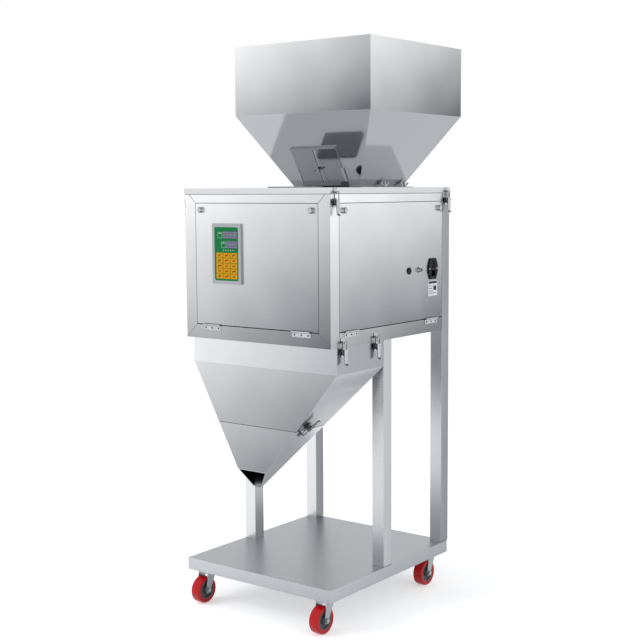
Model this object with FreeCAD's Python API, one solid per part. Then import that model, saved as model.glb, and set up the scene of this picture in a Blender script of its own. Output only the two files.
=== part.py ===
import FreeCAD, Part
import math
import os

# Granule filling machine on a castor stand.
# Granules go from the hopper over a vibrating tray into a weigh bucket, whose two flaps
# drop each weighed portion through the funnel and its nozzle into a bag.
# Sizes are in millimetres. X runs to the machine's right, Y to its back and Z up.
# Everything is drawn with Y = 0 at the cabinet's front face and Z = 0 on the floor.
# save() then moves it along Y, so that the origin lies under the middle of the machine.

V = FreeCAD.Vector

# Sheet, tube and running clearances
tube = 38.0
tube_wall = 1.5
sheet = 1.5
deck_sheet = 2.0
door_gap = 1.5
hinge_gap = 2.5
slide_gap = 0.3
pin_gap = 0.08
panel_gap = 0.3

# Cabinet
cabinet_w = 505.0
cabinet_d = 580.0
cabinet_h = 415.0
panel_depth = 12.0
lid_skirt = 16.0

# Stand
post_h = 638.0
platform_w = cabinet_w + 5.0
platform_d = cabinet_d + 2.0
platform_h = 34.0
platform_front = -10.0
platform_rail_w = 70.0

# Castors
castor_h = 93.0
castor_side_inset = 43.0
castor_front_inset = 42.0
castor_back_inset = 34.0
castor_trail = 26.0
castor_plate = 64.0
castor_plate_t = 3.0
wheel_d = 75.0
wheel_w = 28.0
tyre_t = 8.0
fork_t = 2.5
axle_r = 4.0
raceway_r = 21.0
raceway_h = 7.0

# Hopper
hopper_w = cabinet_w - 29.0
hopper_d = 466.0
hopper_front = cabinet_d - 378.5
hopper_box_h = 196.0
hopper_slope_h = 207.0
foot_w = 228.0
foot_front = hopper_front + 120.1
foot_d = 215.8
neck_h = 85.0
rim_w = 6.0
flange_w = 26.0
flange_t = 2.0
stud_r = 3.0
stud_front = foot_front + 103.4
stud_pitch = 103.0
stud_edge = 9.0
stud_low = 6.0
stud_high = 16.0
nut_r = 5.6
nut_top_r = 4.4
nut_h = 7.0
wing_t = 2.0
wing_reach = 13.0
wing_h = 13.5

# Flow gate on the hopper's front slope
gate_w = 160.0
gate_t = 1.5
gate_top = 131.0
gate_bottom = -112.0
gate_lip = 9.0
gate_slot_w = 7.0
gate_slot_low = 18.0
gate_slot_high = 123.0
gate_stud_at = 62.0
gate_guide_low = 18.0
gate_guide_high = 64.0

# Inspection window and knob in the lid
window_w = 138.0
window_d = 84.0
window_front = 137.0
window_x = -2.0
window_t = 4.0
window_lap = 8.0
lid_knob_x = 104.0
lid_knob_y = 268.0
lid_knob_r = 13.0
lid_knob_h = 17.0

# Funnel and nozzle
collar_front = 27.0
collar_d = 213.0
collar_h = 72.0
lip_w = 100.0
lip_front = -23.0
lip_drop = 347.0
tip_y = 1.0
tip_drop = 399.0
seam_drop = 229.5
post_front = collar_front + collar_d + 1.0
nozzle_lap = 12.0

# Door knobs and hinges
knob_r = 8.0
knob_h = 8.0
knob_inset = 20.0
knob_drop = 18.0
screw_r = 2.4
screw_hole_r = 3.0
tab_t = 2.0
hinge_l = 62.0
hinge_barrel_r = 3.0
hinge_pin_r = 1.3
hinge_leaf_t = 1.2
hinge_leaf_h = 13.0
front_hinge_x = cabinet_w / 2 - 95.5
side_hinge_y = 90.0
side_hinge_pitch = cabinet_d - 189.0

# Controller in the front door
bezel_w = 103.0
bezel_h = 165.0
bezel_t = 6.0
bezel_x = -96.5
bezel_z = 237.0
case_w = 90.0
case_h = 150.0
case_d = 58.0
film_w = 86.0
film_h = 146.0
film_t = 1.0
film_corner = 5.0

# Fittings in the side door
inlet_y = cabinet_d - 91.0
inlet_z = 182.5
inlet_w = 48.0
inlet_h = 60.0
inlet_t = 4.0
inlet_body_w = 28.0
inlet_body_h = 48.0
inlet_depth = 32.0
socket_mouth_w = 22.0
socket_mouth_low = 21.0
socket_mouth_high = 5.0
mouth_depth = 16.0
blade_pitch = 7.0
blade_h = 5.0
socket_y = inlet_y - 70.0
socket_z = 182.5
socket_r = 8.0
bung_y = inlet_y - 122.0
bung_z = 182.0
bung_r = 7.5

# Toggle latches
latch_w = 15.0
latch_ear = 4.8
latch_pin_r = 1.5
latch_stand = 7.5
latch_arm = 6.0
latch_reach = 30.0
latch_handle = 38.0
wire_r = 1.3
latch_sheet = 1.2
catch_t = 1.6
catch_roll = 4.2

# Feeder, weigh bucket and load cell
tray_z = 262.0
tray_w = 176.0
tray_wall_h = 56.0
tray_front = 150.0
tray_back = cabinet_d - 80.0
bucket_w = 160.0
bucket_front = 62.0
bucket_d = 118.0
bucket_bottom = 92.0
bucket_top = 236.0
cell_l = 130.0
cell_h = 30.0
cell_t = 22.0
cell_z = 150.0
drive_front = tray_back - 210.0
drive_d = 160.0
drive_w = 110.0
drive_h = 78.0
coil_w = 46.0
coil_d = 56.0
coil_h = 44.0
coil_back = 24.0
spring_t = 1.6
spring_w = 60.0
spring_h = 195.0
spring_lean = 12.0
spring_gap = 0.8
bracket_h = 34.0
bracket_t = 12.0
cell_seat = 8.0
cell_end = 25.0
cell_bracket_t = 6.0
cell_foot_d = 44.0
cell_foot_t = 5.0
flap_pin_r = 1.5
flap_barrel_r = 2.2
flap_gap = 0.5

# Levels and faces that several pieces share
half_w = cabinet_w / 2
post_z = castor_h + platform_h
cabinet_z = post_z + post_h
frame_h = cabinet_h - sheet
lid_z = cabinet_z + cabinet_h
inner_x = half_w - tube
back_rail = cabinet_d - tube
door_low = cabinet_z + tube + hinge_gap
door_high = cabinet_z + frame_h - tube - door_gap
lid_out = slide_gap + sheet
front_reach = platform_front + castor_front_inset - castor_trail - wheel_d / 2
cabinet_front = -(front_reach + hopper_front + hopper_d) / 2

os.makedirs("parts", exist_ok=True)


def save(name, solids):
    """Write a node's solids, with the origin under the middle of the machine."""
    shape = Part.makeCompound(solids) if len(solids) > 1 else solids[0].copy()
    shape.translate(V(0, cabinet_front, 0))
    shape.exportStep(os.path.join("parts", name + ".step"))


def box(x, y, z):
    """A block between three pairs of limits."""
    return Part.makeBox(x[1] - x[0], y[1] - y[0], z[1] - z[0], V(x[0], y[0], z[0]))


def around(centre, size):
    """The two limits of a size about its centre."""
    return (centre - size / 2, centre + size / 2)


def rod(radius, start, end):
    """A round bar from one point to another."""
    run = end - start
    return Part.makeCylinder(radius, run.Length, start, run)


def prism(points, run):
    """A flat outline pushed along a vector."""
    outline = Part.makePolygon(points + [points[0]])
    return Part.Face(outline).extrude(run)


def one_solid(shape):
    """The fused shape, with its split faces joined."""
    return shape.removeSplitter()


def mirrored(shape):
    """The same piece on the machine's other side."""
    return shape.mirror(V(0, 0, 0), V(1, 0, 0))


def placed(shape, origin, across, along, out):
    """A shape drawn on local X, Y and Z, set on three directions of the machine."""
    matrix = FreeCAD.Matrix(
        across.x, along.x, out.x, origin.x,
        across.y, along.y, out.y, origin.y,
        across.z, along.z, out.z, origin.z,
        0, 0, 0, 1)
    copy = shape.copy()
    copy.Placement = FreeCAD.Placement(matrix).multiply(copy.Placement)
    return copy


def rectangle(x, y, z):
    """The corners of a level rectangle, anticlockwise from above."""
    return [V(x[0], y[0], z), V(x[1], y[0], z), V(x[1], y[1], z), V(x[0], y[1], z)]


def frustum(low, high):
    """The straight-sided body between two level rectangles, the lower one first."""
    base, top = rectangle(*low), rectangle(*high)
    rings = [base[::-1], top]
    for i in range(4):
        after = (i + 1) % 4
        rings.append([base[i], base[after], top[after], top[i]])
    faces = [Part.Face(Part.makePolygon(ring + [ring[0]])) for ring in rings]
    return Part.Solid(Part.Shell(faces))


def tube_x(x, y, z):
    """A square tube that runs along X and is open at its ends."""
    hollow = box(x, (y[0] + tube_wall, y[1] - tube_wall), (z[0] + tube_wall, z[1] - tube_wall))
    return box(x, y, z).cut(hollow)


def tube_y(x, y, z):
    """A square tube that runs along Y and is open at its ends."""
    hollow = box((x[0] + tube_wall, x[1] - tube_wall), y, (z[0] + tube_wall, z[1] - tube_wall))
    return box(x, y, z).cut(hollow)


def tube_z(x, y, z):
    """A square tube that stands along Z and is open at its ends."""
    hollow = box((x[0] + tube_wall, x[1] - tube_wall), (y[0] + tube_wall, y[1] - tube_wall), z)
    return box(x, y, z).cut(hollow)


def platform():
    """A folded tray with two channels below, which the castors are bolted to."""
    x = around(0, platform_w)
    y = (platform_front, platform_front + platform_d)
    z = (castor_h, post_z)
    hollow = box((x[0] + deck_sheet, x[1] - deck_sheet), (y[0] + deck_sheet, y[1] - deck_sheet),
                 (z[0], z[1] - deck_sheet))
    body = box(x, y, z).cut(hollow)
    for side in (-1, 1):
        middle = side * (platform_w / 2 - castor_side_inset)
        rail = box(around(middle, platform_rail_w), (y[0] + deck_sheet, y[1] - deck_sheet),
                   (z[0], z[1] - deck_sheet))
        groove = box(around(middle, platform_rail_w - 2 * deck_sheet), y,
                     (z[0] + deck_sheet, z[1] - deck_sheet))
        body = body.fuse(rail.cut(groove))
    return one_solid(body)


def post(side, front, top):
    """A square tube from the platform up to its top level."""
    x = sorted((side * half_w, side * inner_x))
    return tube_z(x, (front, front + tube), (post_z, top))


def front_ring():
    """Four tubes of the front frame, mitred at the corners."""
    z = (cabinet_z, cabinet_z + frame_h)
    middle = cabinet_z + frame_h / 2
    bar = box((-half_w, half_w), (0, tube), z)
    bar = bar.cut(box((-inner_x, inner_x), (0, tube), (z[0] + tube, z[1] - tube)))
    wide = half_w - tube_wall
    hollow = box((-wide, wide), (tube_wall, tube - tube_wall), (z[0] + tube_wall, z[1] - tube_wall))
    narrow = inner_x + tube_wall
    core = box((-narrow, narrow), (0, tube),
               (z[0] + tube - tube_wall, z[1] - tube + tube_wall))
    bar = bar.cut(hollow.cut(core))
    meet = half_w - frame_h / 2
    corners = [V(-half_w, 0, z[0]), V(half_w, 0, z[0]), V(half_w, 0, z[1]), V(-half_w, 0, z[1])]
    left_point = V(-meet, 0, middle)
    right_point = V(meet, 0, middle)
    ends = [(corners[0], corners[1], right_point, left_point),
            (corners[1], corners[2], right_point),
            (corners[2], corners[3], left_point, right_point),
            (corners[3], corners[0], left_point)]
    return [bar.common(prism(list(points), V(0, tube, 0))) for points in ends]


def lock_tab(x, y, z, hole_from, hole_to):
    """A plate on the frame that a door's captive screw enters."""
    return box(x, y, z).cut(rod(screw_hole_r + 0.4, hole_from, hole_to))


def cabinet_frame():
    """The welded tubes between the posts, with the tabs that hold the doors shut."""
    members = front_ring()
    y_run = (tube, back_rail)
    low = (cabinet_z, cabinet_z + tube)
    high = (cabinet_z + frame_h - tube, cabinet_z + frame_h)
    for z in (low, high):
        members.append(tube_y((inner_x, half_w), y_run, z))
        members.append(tube_y((-half_w, -inner_x), y_run, z))
        members.append(tube_x((-inner_x, inner_x), (back_rail, cabinet_d), z))
    cross = collar_front + collar_d - tube / 2
    members.append(tube_x((-inner_x, inner_x), (cross, cross + tube), low))
    knob_z = door_high - knob_drop
    span = 2 * (knob_inset + door_gap) - tab_t
    deep = (panel_depth + tab_t, panel_depth + 2 * tab_t)
    z = around(knob_z, knob_r * 2)
    for side in (-1, 1):
        x = sorted((side * inner_x, side * (inner_x - span)))
        at = side * (inner_x - door_gap - knob_inset)
        members.append(lock_tab(x, deep, z, V(at, deep[0], knob_z), V(at, deep[1], knob_z)))
    x = (half_w - deep[1], half_w - deep[0])
    for start, turn in ((tube, 1), (back_rail, -1)):
        y = sorted((start, start + turn * span))
        at = start + turn * (door_gap + knob_inset)
        members.append(lock_tab(x, y, z, V(x[0], at, knob_z), V(x[1], at, knob_z)))
    return members


def pan(x, y, z, skin):
    """A panel with folded edges. The skin names the side that stays closed."""
    inner = [[x[0] + sheet, x[1] - sheet], [y[0] + sheet, y[1] - sheet],
             [z[0] + sheet, z[1] - sheet]]
    limits = {"front": (1, 1, y[1]), "back": (1, 0, y[0]), "left": (0, 1, x[1]), "right": (0, 0, x[0])}
    axis, end, value = limits[skin]
    inner[axis][end] = value
    return box(x, y, z).cut(box(*inner))


def front_door():
    """The front panel, cut out for the controller and drilled for two knobs."""
    wide = inner_x - door_gap
    door = pan((-wide, wide), (0, panel_depth), (door_low, door_high), "front")
    z = cabinet_z + bezel_z
    door = door.cut(box(around(bezel_x, case_w + 2 * slide_gap), (0, panel_depth),
                        around(z, case_h + 2 * slide_gap)))
    for side in (-1, 1):
        at = V(side * (wide - knob_inset), 0, door_high - knob_drop)
        door = door.cut(rod(screw_hole_r, at, at + V(0, panel_depth, 0)))
    return door


def side_door():
    """The right-hand panel, with holes for the inlet, the socket, the bung and two knobs."""
    y = (tube + door_gap, back_rail - door_gap)
    x = (half_w - panel_depth, half_w)
    door = pan(x, y, (door_low, door_high), "right")
    for at in (y[0] + knob_inset, y[1] - knob_inset):
        start = V(x[0], at, door_high - knob_drop)
        door = door.cut(rod(screw_hole_r, start, start + V(panel_depth, 0, 0)))
    door = door.cut(box(x, around(inlet_y, inlet_body_w + 2 * slide_gap),
                        around(cabinet_z + inlet_z, inlet_body_h + 2 * slide_gap)))
    for at, level, radius in ((socket_y, socket_z, socket_r - 2), (bung_y, bung_z, bung_r)):
        start = V(x[0], at, cabinet_z + level)
        door = door.cut(rod(radius, start, start + V(panel_depth, 0, 0)))
    return door


def cabinet_floor():
    """The sheet behind the funnel opening that carries the feeder."""
    front = collar_front + collar_d - tube / 2
    low = cabinet_z + tube
    return box((-inner_x, inner_x), (front, cabinet_d - panel_depth), (low, low + deck_sheet))


def hopper_level(z, wall):
    """The hopper's rectangle at a level, drawn in by its wall."""
    share = (z - lid_z) / hopper_slope_h
    x = (foot_w + share * (hopper_w - foot_w)) / 2 - wall
    front = foot_front + share * (hopper_front - foot_front) + wall
    foot_back = foot_front + foot_d
    back = foot_back + share * (hopper_front + hopper_d - foot_back) - wall
    return (-x, x), (front, back), z


slope_wall = sheet * math.hypot(1, (foot_front - hopper_front) / hopper_slope_h)
box_low = lid_z + hopper_slope_h
box_high = box_low + hopper_box_h
neck_z = lid_z - neck_h
gate_pass_x = around(0, gate_w + 2 * sheet)
gate_pass_y = (foot_front - 3 * sheet - gate_t * 2 - slide_gap, foot_front + sheet)


def hopper():
    """Sheet pyramid and box, with a turned-in rim and a flange that lies on the lid."""
    x, y = (-hopper_w / 2, hopper_w / 2), (hopper_front, hopper_front + hopper_d)
    body = frustum(hopper_level(neck_z, 0), hopper_level(box_low, 0))
    body = body.fuse(box(x, y, (box_low, box_high)))
    flange = box(around(0, foot_w + 2 * flange_w),
                 (foot_front - flange_w, foot_front + foot_d + flange_w), (lid_z, lid_z + flange_t))
    body = body.fuse(flange.cut(box(gate_pass_x, gate_pass_y, (lid_z, lid_z + flange_t))))
    inside = frustum(hopper_level(neck_z, slope_wall), hopper_level(box_low, slope_wall))
    body = body.cut(inside)
    body = body.cut(box((x[0] + sheet, x[1] - sheet), (y[0] + sheet, y[1] - sheet),
                        (box_low, box_high - sheet)))
    body = body.cut(box((x[0] + rim_w, x[1] - rim_w), (y[0] + rim_w, y[1] - rim_w),
                        (box_high - sheet, box_high)))
    for spot in stud_places():
        body = body.cut(rod(stud_r + slide_gap, spot, spot + V(0, 0, flange_t)))
    return one_solid(body)


def stud_places():
    """Where the four studs of the lid pass through the hopper's flange."""
    x = foot_w / 2 + flange_w - stud_edge
    return [V(side * x, y, lid_z) for side in (-1, 1) for y in (stud_front, stud_front + stud_pitch)]


def top_lid():
    """A shallow cover over the frame, open for the hopper's neck, the gate and the window."""
    x = (-half_w - lid_out, half_w + lid_out)
    y = (-lid_out, cabinet_d + lid_out)
    cover = box(x, y, (lid_z - lid_skirt, lid_z))
    cover = cover.cut(box((x[0] + sheet, x[1] - sheet), (y[0] + sheet, y[1] - sheet),
                          (lid_z - lid_skirt, lid_z - sheet)))
    z = (lid_z - sheet, lid_z)
    cover = cover.cut(frustum(hopper_level(z[0], -slide_gap), hopper_level(z[1], -slide_gap)))
    cover = cover.cut(box(gate_pass_x, gate_pass_y, z))
    cover = cover.cut(box(around(window_x, window_w - 2 * window_lap),
                          (window_front + window_lap, window_front + window_d - window_lap), z))
    at = V(lid_knob_x, lid_knob_y, z[0])
    cover = cover.cut(rod(screw_r + slide_gap, at, at + V(0, 0, sheet)))
    for spot in stud_places():
        cover = cover.cut(rod(stud_r, spot - V(0, 0, sheet), spot))
    return cover


def lid_window():
    """A smoked acrylic plate that covers the window opening."""
    plate = box(around(window_x, window_w), (window_front, window_front + window_d),
                (lid_z, lid_z + window_t))
    uprights = [edge for edge in plate.Edges if abs(edge.tangentAt(edge.FirstParameter).z) > 0.9]
    return plate.makeFillet(window_lap, uprights)


def knob(origin, across, along, out, reach):
    """A knurled head with a captive screw, drawn with its axis on local Z."""
    crown = 1.2
    outline = [V(0, 0, -reach), V(screw_r, 0, -reach), V(screw_r, 0, 0), V(knob_r, 0, 0),
               V(knob_r, 0, knob_h - crown), V(knob_r - crown, 0, knob_h), V(0, 0, knob_h)]
    face = Part.Face(Part.makePolygon(outline + [outline[0]]))
    body = face.revolve(V(0, 0, 0), V(0, 0, 1), 360)
    return placed(body, origin, across, along, out)


slope_run = math.hypot(hopper_slope_h, foot_front - hopper_front)
slope_up = V(0, (hopper_front - foot_front) / slope_run, hopper_slope_h / slope_run)
slope_out = V(0, -hopper_slope_h / slope_run, (hopper_front - foot_front) / slope_run)
slope_foot = V(0, foot_front, lid_z)
ACROSS = V(1, 0, 0)


def on_slope(shape):
    """A shape drawn on local X, Y up the slope and Z outwards, set on the hopper's front."""
    return placed(shape, slope_foot, ACROSS, slope_up, slope_out)


def gate_plate():
    """The sliding plate that sets how thick a layer leaves the hopper, with its bent lip."""
    low, high = slide_gap, slide_gap + gate_t
    plate = box(around(0, gate_w), (gate_bottom, gate_top), (low, high))
    plate = plate.fuse(box(around(0, gate_w), (gate_top - gate_t, gate_top), (low, high + gate_lip)))
    slot_y = (gate_slot_low + gate_slot_w / 2, gate_slot_high - gate_slot_w / 2)
    slot = box(around(0, gate_slot_w), slot_y, (low, high))
    for end in slot_y:
        slot = slot.fuse(rod(gate_slot_w / 2, V(0, end, low), V(0, end, high)))
    return on_slope(one_solid(plate.cut(slot)))


def gate_guide(side):
    """A stepped strip on the hopper that one edge of the plate runs under."""
    y = (gate_guide_low, gate_guide_high)
    inner = gate_w / 2 - 3 * sheet
    outer = gate_w / 2 + slide_gap
    top = gate_t + 2 * slide_gap
    web = box((outer, outer + 3 * sheet), y, (0, top))
    cover = box((inner, outer + 3 * sheet), y, (top, top + sheet))
    guide = on_slope(one_solid(web.fuse(cover)))
    return guide if side > 0 else mirrored(guide)


def gate_stud():
    """The threaded stud on the hopper that the wing nut runs on."""
    at = V(0, gate_stud_at, 0)
    return on_slope(rod(stud_r - slide_gap, at, at + V(0, 0, 4 * stud_r + gate_t)))


def wing_nut(hole_r):
    """A wing nut on local Z, with its seat at Z = 0."""
    nut = Part.makeCone(nut_r, nut_top_r, nut_h)
    outline = [(0, 0.11), (0.54, 0.22), (1, 0.74), (0.92, 1), (0.62, 0.89), (0.28, 0.44)]
    wing = prism([V(across * wing_reach, 0, up * wing_h) for across, up in outline],
                 V(0, wing_t, 0))
    wing.translate(V(0, -wing_t / 2, 0))
    other = wing.mirror(V(0, 0, 0), V(1, 0, 0))
    nut = nut.fuse([wing, other])
    return one_solid(nut.cut(Part.makeCylinder(hole_r, 3 * nut_h, V(0, 0, -nut_h))))


def hinge_pair():
    """A butt hinge on a seam at the origin: its frame leaf with the pin, and its door leaf."""
    axis_y, axis_z = -(hinge_barrel_r + slide_gap), -hinge_gap / 2
    half = hinge_l / 2
    mid = half * 0.4
    start = V(-half, axis_y, axis_z)
    end = V(half, axis_y, axis_z)
    barrel = rod(hinge_barrel_r, start, end)
    middle = box((-mid, mid), (-20, 20), (-20, 20))
    clear = box((-mid - slide_gap, mid + slide_gap), (-20, 20), (-20, 20))
    room = rod(hinge_barrel_r + slide_gap, start, end)
    frame_leaf = box((-half, half), (-hinge_leaf_t, 0),
                     (-hinge_gap - hinge_leaf_h, -hinge_gap + hinge_leaf_t / 2))
    frame_leaf = frame_leaf.cut(room.common(clear))
    frame_leaf = frame_leaf.fuse([barrel.cut(clear), rod(hinge_pin_r, start, end)])
    door_leaf = box((-half, half), (axis_y, panel_depth - sheet), (-hinge_leaf_t, 0))
    door_leaf = door_leaf.cut(room.cut(middle))
    door_leaf = door_leaf.fuse(barrel.common(middle))
    door_leaf = door_leaf.cut(rod(hinge_pin_r + pin_gap, start, end))
    return one_solid(frame_leaf), one_solid(door_leaf)


def rounded_plate(x, y, z, radius):
    """A flat plate across Y with rounded corners."""
    plate = box(x, y, z)
    edges = [edge for edge in plate.Edges if abs(edge.tangentAt(edge.FirstParameter).y) > 0.9]
    return plate.makeFillet(radius, edges)


def controller_case():
    """The indicator's housing: a flange in front of the door and a closed box behind it."""
    z = cabinet_z + bezel_z
    flange = rounded_plate(around(bezel_x, bezel_w), (-bezel_t, 0), around(z, bezel_h), sheet)
    body = flange.fuse(box(around(bezel_x, case_w), (0, case_d), around(z, case_h)))
    recess = rounded_plate(around(bezel_x, film_w), (-bezel_t, film_t - bezel_t),
                           around(z, film_h), film_corner)
    return one_solid(body.cut(recess))


def control_film():
    """The printed keypad film that fills the flange's recess."""
    z = cabinet_z + bezel_z
    return rounded_plate(around(bezel_x, film_w), (-bezel_t, film_t - bezel_t),
                         around(z, film_h), film_corner)


inlet_out = half_w + inlet_t
rocker_z = cabinet_z + inlet_z + 13.0
rocker_h = 16.0
rocker_w = 11.0
rocker_r = 9.0


def power_inlet():
    """A moulded inlet with a socket below and an opening for the rocker above."""
    z = cabinet_z + inlet_z
    wide, tall = inlet_w / 2, inlet_h / 2
    narrow = wide * 0.6
    outline = [(-narrow, -tall), (narrow, -tall), (wide, -tall * 0.3), (wide, tall * 0.3),
               (narrow, tall), (-narrow, tall), (-wide, tall * 0.3), (-wide, -tall * 0.3)]
    flange = prism([V(half_w, inlet_y + y, z + up) for y, up in outline], V(inlet_t, 0, 0))
    body = flange.fuse(box((half_w - inlet_depth, half_w), around(inlet_y, inlet_body_w),
                           around(z, inlet_body_h)))
    mouth = box((half_w - mouth_depth, inlet_out), around(inlet_y, socket_mouth_w),
                (z - socket_mouth_low, z - socket_mouth_high))
    body = body.cut(mouth)
    body = body.cut(box((half_w - 12, inlet_out), around(inlet_y, rocker_w + 2 * slide_gap),
                        around(rocker_z, rocker_h + 6 * slide_gap)))
    for y in (-blade_pitch, 0, blade_pitch):
        blade = box((half_w - mouth_depth, half_w - 2), around(inlet_y + y, 2),
                    (z - 3 * blade_h, z - 2 * blade_h))
        body = body.fuse(blade)
    return one_solid(body)


def rocker_switch():
    """The rocker, rounded about its pivot and hollowed a little for the finger."""
    pivot = V(half_w - 3, inlet_y - rocker_w / 2, rocker_z)
    drum = rod(rocker_r, pivot, pivot + V(0, rocker_w, 0))
    keep = box((half_w - 8, inlet_out + 1.5), around(inlet_y, rocker_w),
               around(rocker_z, rocker_h - 1.0))
    dip = rod(14.0, pivot + V(19.0, 0, 0), pivot + V(19.0, rocker_w, 0))
    return one_solid(drum.common(keep).cut(dip))


def round_socket():
    """The round metal socket of the foot switch, with its ring nut and insert."""
    z = cabinet_z + socket_z
    at = V(half_w, socket_y, z)
    out = V(1, 0, 0)
    body = rod(socket_r - 2, at - out * 14, at + out * 9)
    body = body.fuse(rod(socket_r, at, at + out * 3))
    body = body.cut(rod(socket_r - 3.4, at + out * 2, at + out * 9))
    pins = [rod(0.8, at + V(0, 2 * math.cos(a), 2 * math.sin(a)),
                at + V(7, 2 * math.cos(a), 2 * math.sin(a))) for a in (0.5, 2.6, 4.7)]
    return one_solid(body.fuse(pins))


def bung():
    """The rubber bung in the spare cable hole."""
    at = V(half_w, bung_y, cabinet_z + bung_z)
    out = V(1, 0, 0)
    body = rod(bung_r, at - out * 5, at)
    body = body.fuse(rod(bung_r + 2.5, at, at + out * 2))
    return one_solid(body.fuse(rod(bung_r + 1, at - out * 5, at - out * (sheet + slide_gap))))


# Funnel surfaces, as straight lines from the collar's bottom edge
def funnel_level(drop, wall):
    """The funnel's rectangle at a depth below the cabinet, drawn in by its wall."""
    fall = drop - collar_h
    half = half_w - fall * (half_w - lip_w / 2) / (lip_drop - collar_h) - wall
    front = collar_front - fall * (collar_front - lip_front) / (lip_drop - collar_h) + wall
    back_top = collar_front + collar_d
    back = back_top - fall * (back_top - tip_y) / (tip_drop - collar_h) - wall
    return (-half, half), (front, back), cabinet_z - drop


side_fall = (half_w - lip_w / 2) / (lip_drop - collar_h)
panel_wall = sheet * math.hypot(1, side_fall)


def funnel_shell(top, bottom, grow):
    """The sloping shell between two depths, grown outwards by the last number."""
    outer = frustum(funnel_level(bottom, -grow), funnel_level(top, -grow))
    return outer.cut(frustum(funnel_level(bottom, panel_wall - grow),
                             funnel_level(top, panel_wall - grow)))


def funnel():
    """The collar under the cabinet and the upper part of the funnel."""
    x = (-half_w, half_w)
    y = (collar_front, collar_front + collar_d)
    collar = box(x, y, (cabinet_z - collar_h, cabinet_z))
    collar = collar.cut(box((x[0] + sheet, x[1] - sheet), (y[0] + sheet, y[1] - sheet),
                            (cabinet_z - collar_h, cabinet_z)))
    return one_solid(collar.fuse(funnel_shell(collar_h, seam_drop, 0)))


def nozzle():
    """The removable lower part: an inner lip above the seam and a rounded pouring tongue."""
    body = funnel_shell(seam_drop, tip_drop, 0)
    lip = frustum(funnel_level(seam_drop, panel_wall + slide_gap),
                  funnel_level(seam_drop - nozzle_lap, panel_wall + slide_gap))
    body = body.fuse(frustum(funnel_level(seam_drop + sheet, panel_wall / 2),
                             funnel_level(seam_drop, panel_wall / 2)).fuse(lip))
    inner = 2 * panel_wall
    body = body.cut(frustum(funnel_level(seam_drop + sheet, inner),
                            funnel_level(seam_drop - nozzle_lap, inner)))
    body = body.cut(frustum(funnel_level(tip_drop, panel_wall), funnel_level(seam_drop, panel_wall)))
    run = V(0, tip_y - lip_front, lip_drop - tip_drop)
    lip_point = V(-half_w, lip_front, cabinet_z - lip_drop)
    ahead = V(0, -2 * collar_d, 0)
    body = body.cut(prism([lip_point - run * 2, lip_point + run * 3, lip_point + run * 3 + ahead,
                           lip_point - run * 2 + ahead], V(cabinet_w, 0, 0)))
    slant = math.atan(side_fall)
    apex = cabinet_z - collar_h - half_w / side_fall
    tip = cabinet_z - tip_drop
    radius = (tip - apex) / (1 / math.sin(slant) - 1)
    centre = tip + radius
    below = box(around(0, 4 * radius), (-collar_d, collar_d),
                (tip - radius, centre - radius * math.sin(slant)))
    disc = rod(radius, V(0, -collar_d, centre), V(0, collar_d, centre))
    return one_solid(body.cut(below.cut(disc)))


# Toggle latches are drawn on local X across, Y towards the keeper and Z outwards,
# with the handle's pivot above the origin
def latch_base():
    """A plate with two ears and the pivot pin between them."""
    plate = box((-latch_w / 2 - 0.5, latch_w / 2 + 0.5), (-16, 8), (0, latch_sheet))
    ear_r = 3.2
    for side in (-1, 1):
        x = sorted((side * (latch_ear - 0.6), side * (latch_ear + 0.6)))
        ear = box(x, (-ear_r, ear_r), (latch_sheet / 2, latch_stand))
        ear = ear.fuse(rod(ear_r, V(x[0], 0, latch_stand), V(x[1], 0, latch_stand)))
        plate = plate.fuse(ear)
    end = latch_w / 2 + 0.2
    return one_solid(plate.fuse(rod(latch_pin_r, V(-end, 0, latch_stand), V(end, 0, latch_stand))))


def latch_lever():
    """A tapered handle with a curled tip, folded down into two cheeks at its pivot."""
    half = latch_w / 2 - 0.1
    top = latch_stand + 3.5
    over = top + latch_sheet
    tip = -latch_handle
    strip = [V(-half, 5, top), V(-half, 5, over), V(-half, tip + 5.5, over), V(-half, tip + 1, over + 4),
             V(-half, tip, over + 3), V(-half, tip + 5, top)]
    lever = prism(strip, V(2 * half, 0, 0))
    for side in (-1, 1):
        x = sorted((side * half, side * (half - latch_sheet)))
        cheek = [V(x[0], 5, top + 0.2), V(x[0], 5, 5), V(x[0], -8.5, 4.5), V(x[0], -14, top + 0.2)]
        lever = lever.fuse(prism(cheek, V(latch_sheet, 0, 0)))
        taper = [V(side * half, -16, 0), V(side * (half + 3), -16, 0), V(side * (half + 3), tip - 1, 0),
                 V(side * half * 0.6, tip - 1, 0)]
        lever = lever.cut(prism(taper, V(0, 0, 2 * over)))
    side_run = V(latch_w, 0, 0)
    for y, radius in ((0, latch_pin_r + pin_gap), (-latch_arm, wire_r + pin_gap)):
        middle = V(0, y, latch_stand)
        lever = lever.cut(rod(radius, middle - side_run, middle + side_run))
    return one_solid(lever)


def latch_bail():
    """The wire loop that hangs in the lever's cheeks and pulls on the keeper."""
    inner = latch_w / 2 - 1.5
    outer = latch_w / 2 + wire_r + 0.5
    low, high = -latch_arm, latch_reach - latch_arm
    path = Part.makePolygon([V(inner, low, latch_stand), V(outer, low, latch_stand),
                             V(outer, high, latch_stand), V(-outer, high, latch_stand),
                             V(-outer, low, latch_stand), V(-inner, low, latch_stand)])
    section = Part.Wire(Part.makeCircle(wire_r, V(inner, low, latch_stand), V(1, 0, 0)))
    pipe = Part.BRepOffsetAPI.MakePipeShell(path)
    pipe.setTransitionMode(1)
    pipe.add(section)
    pipe.build()
    pipe.makeSolid()
    return pipe.shape()


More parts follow.
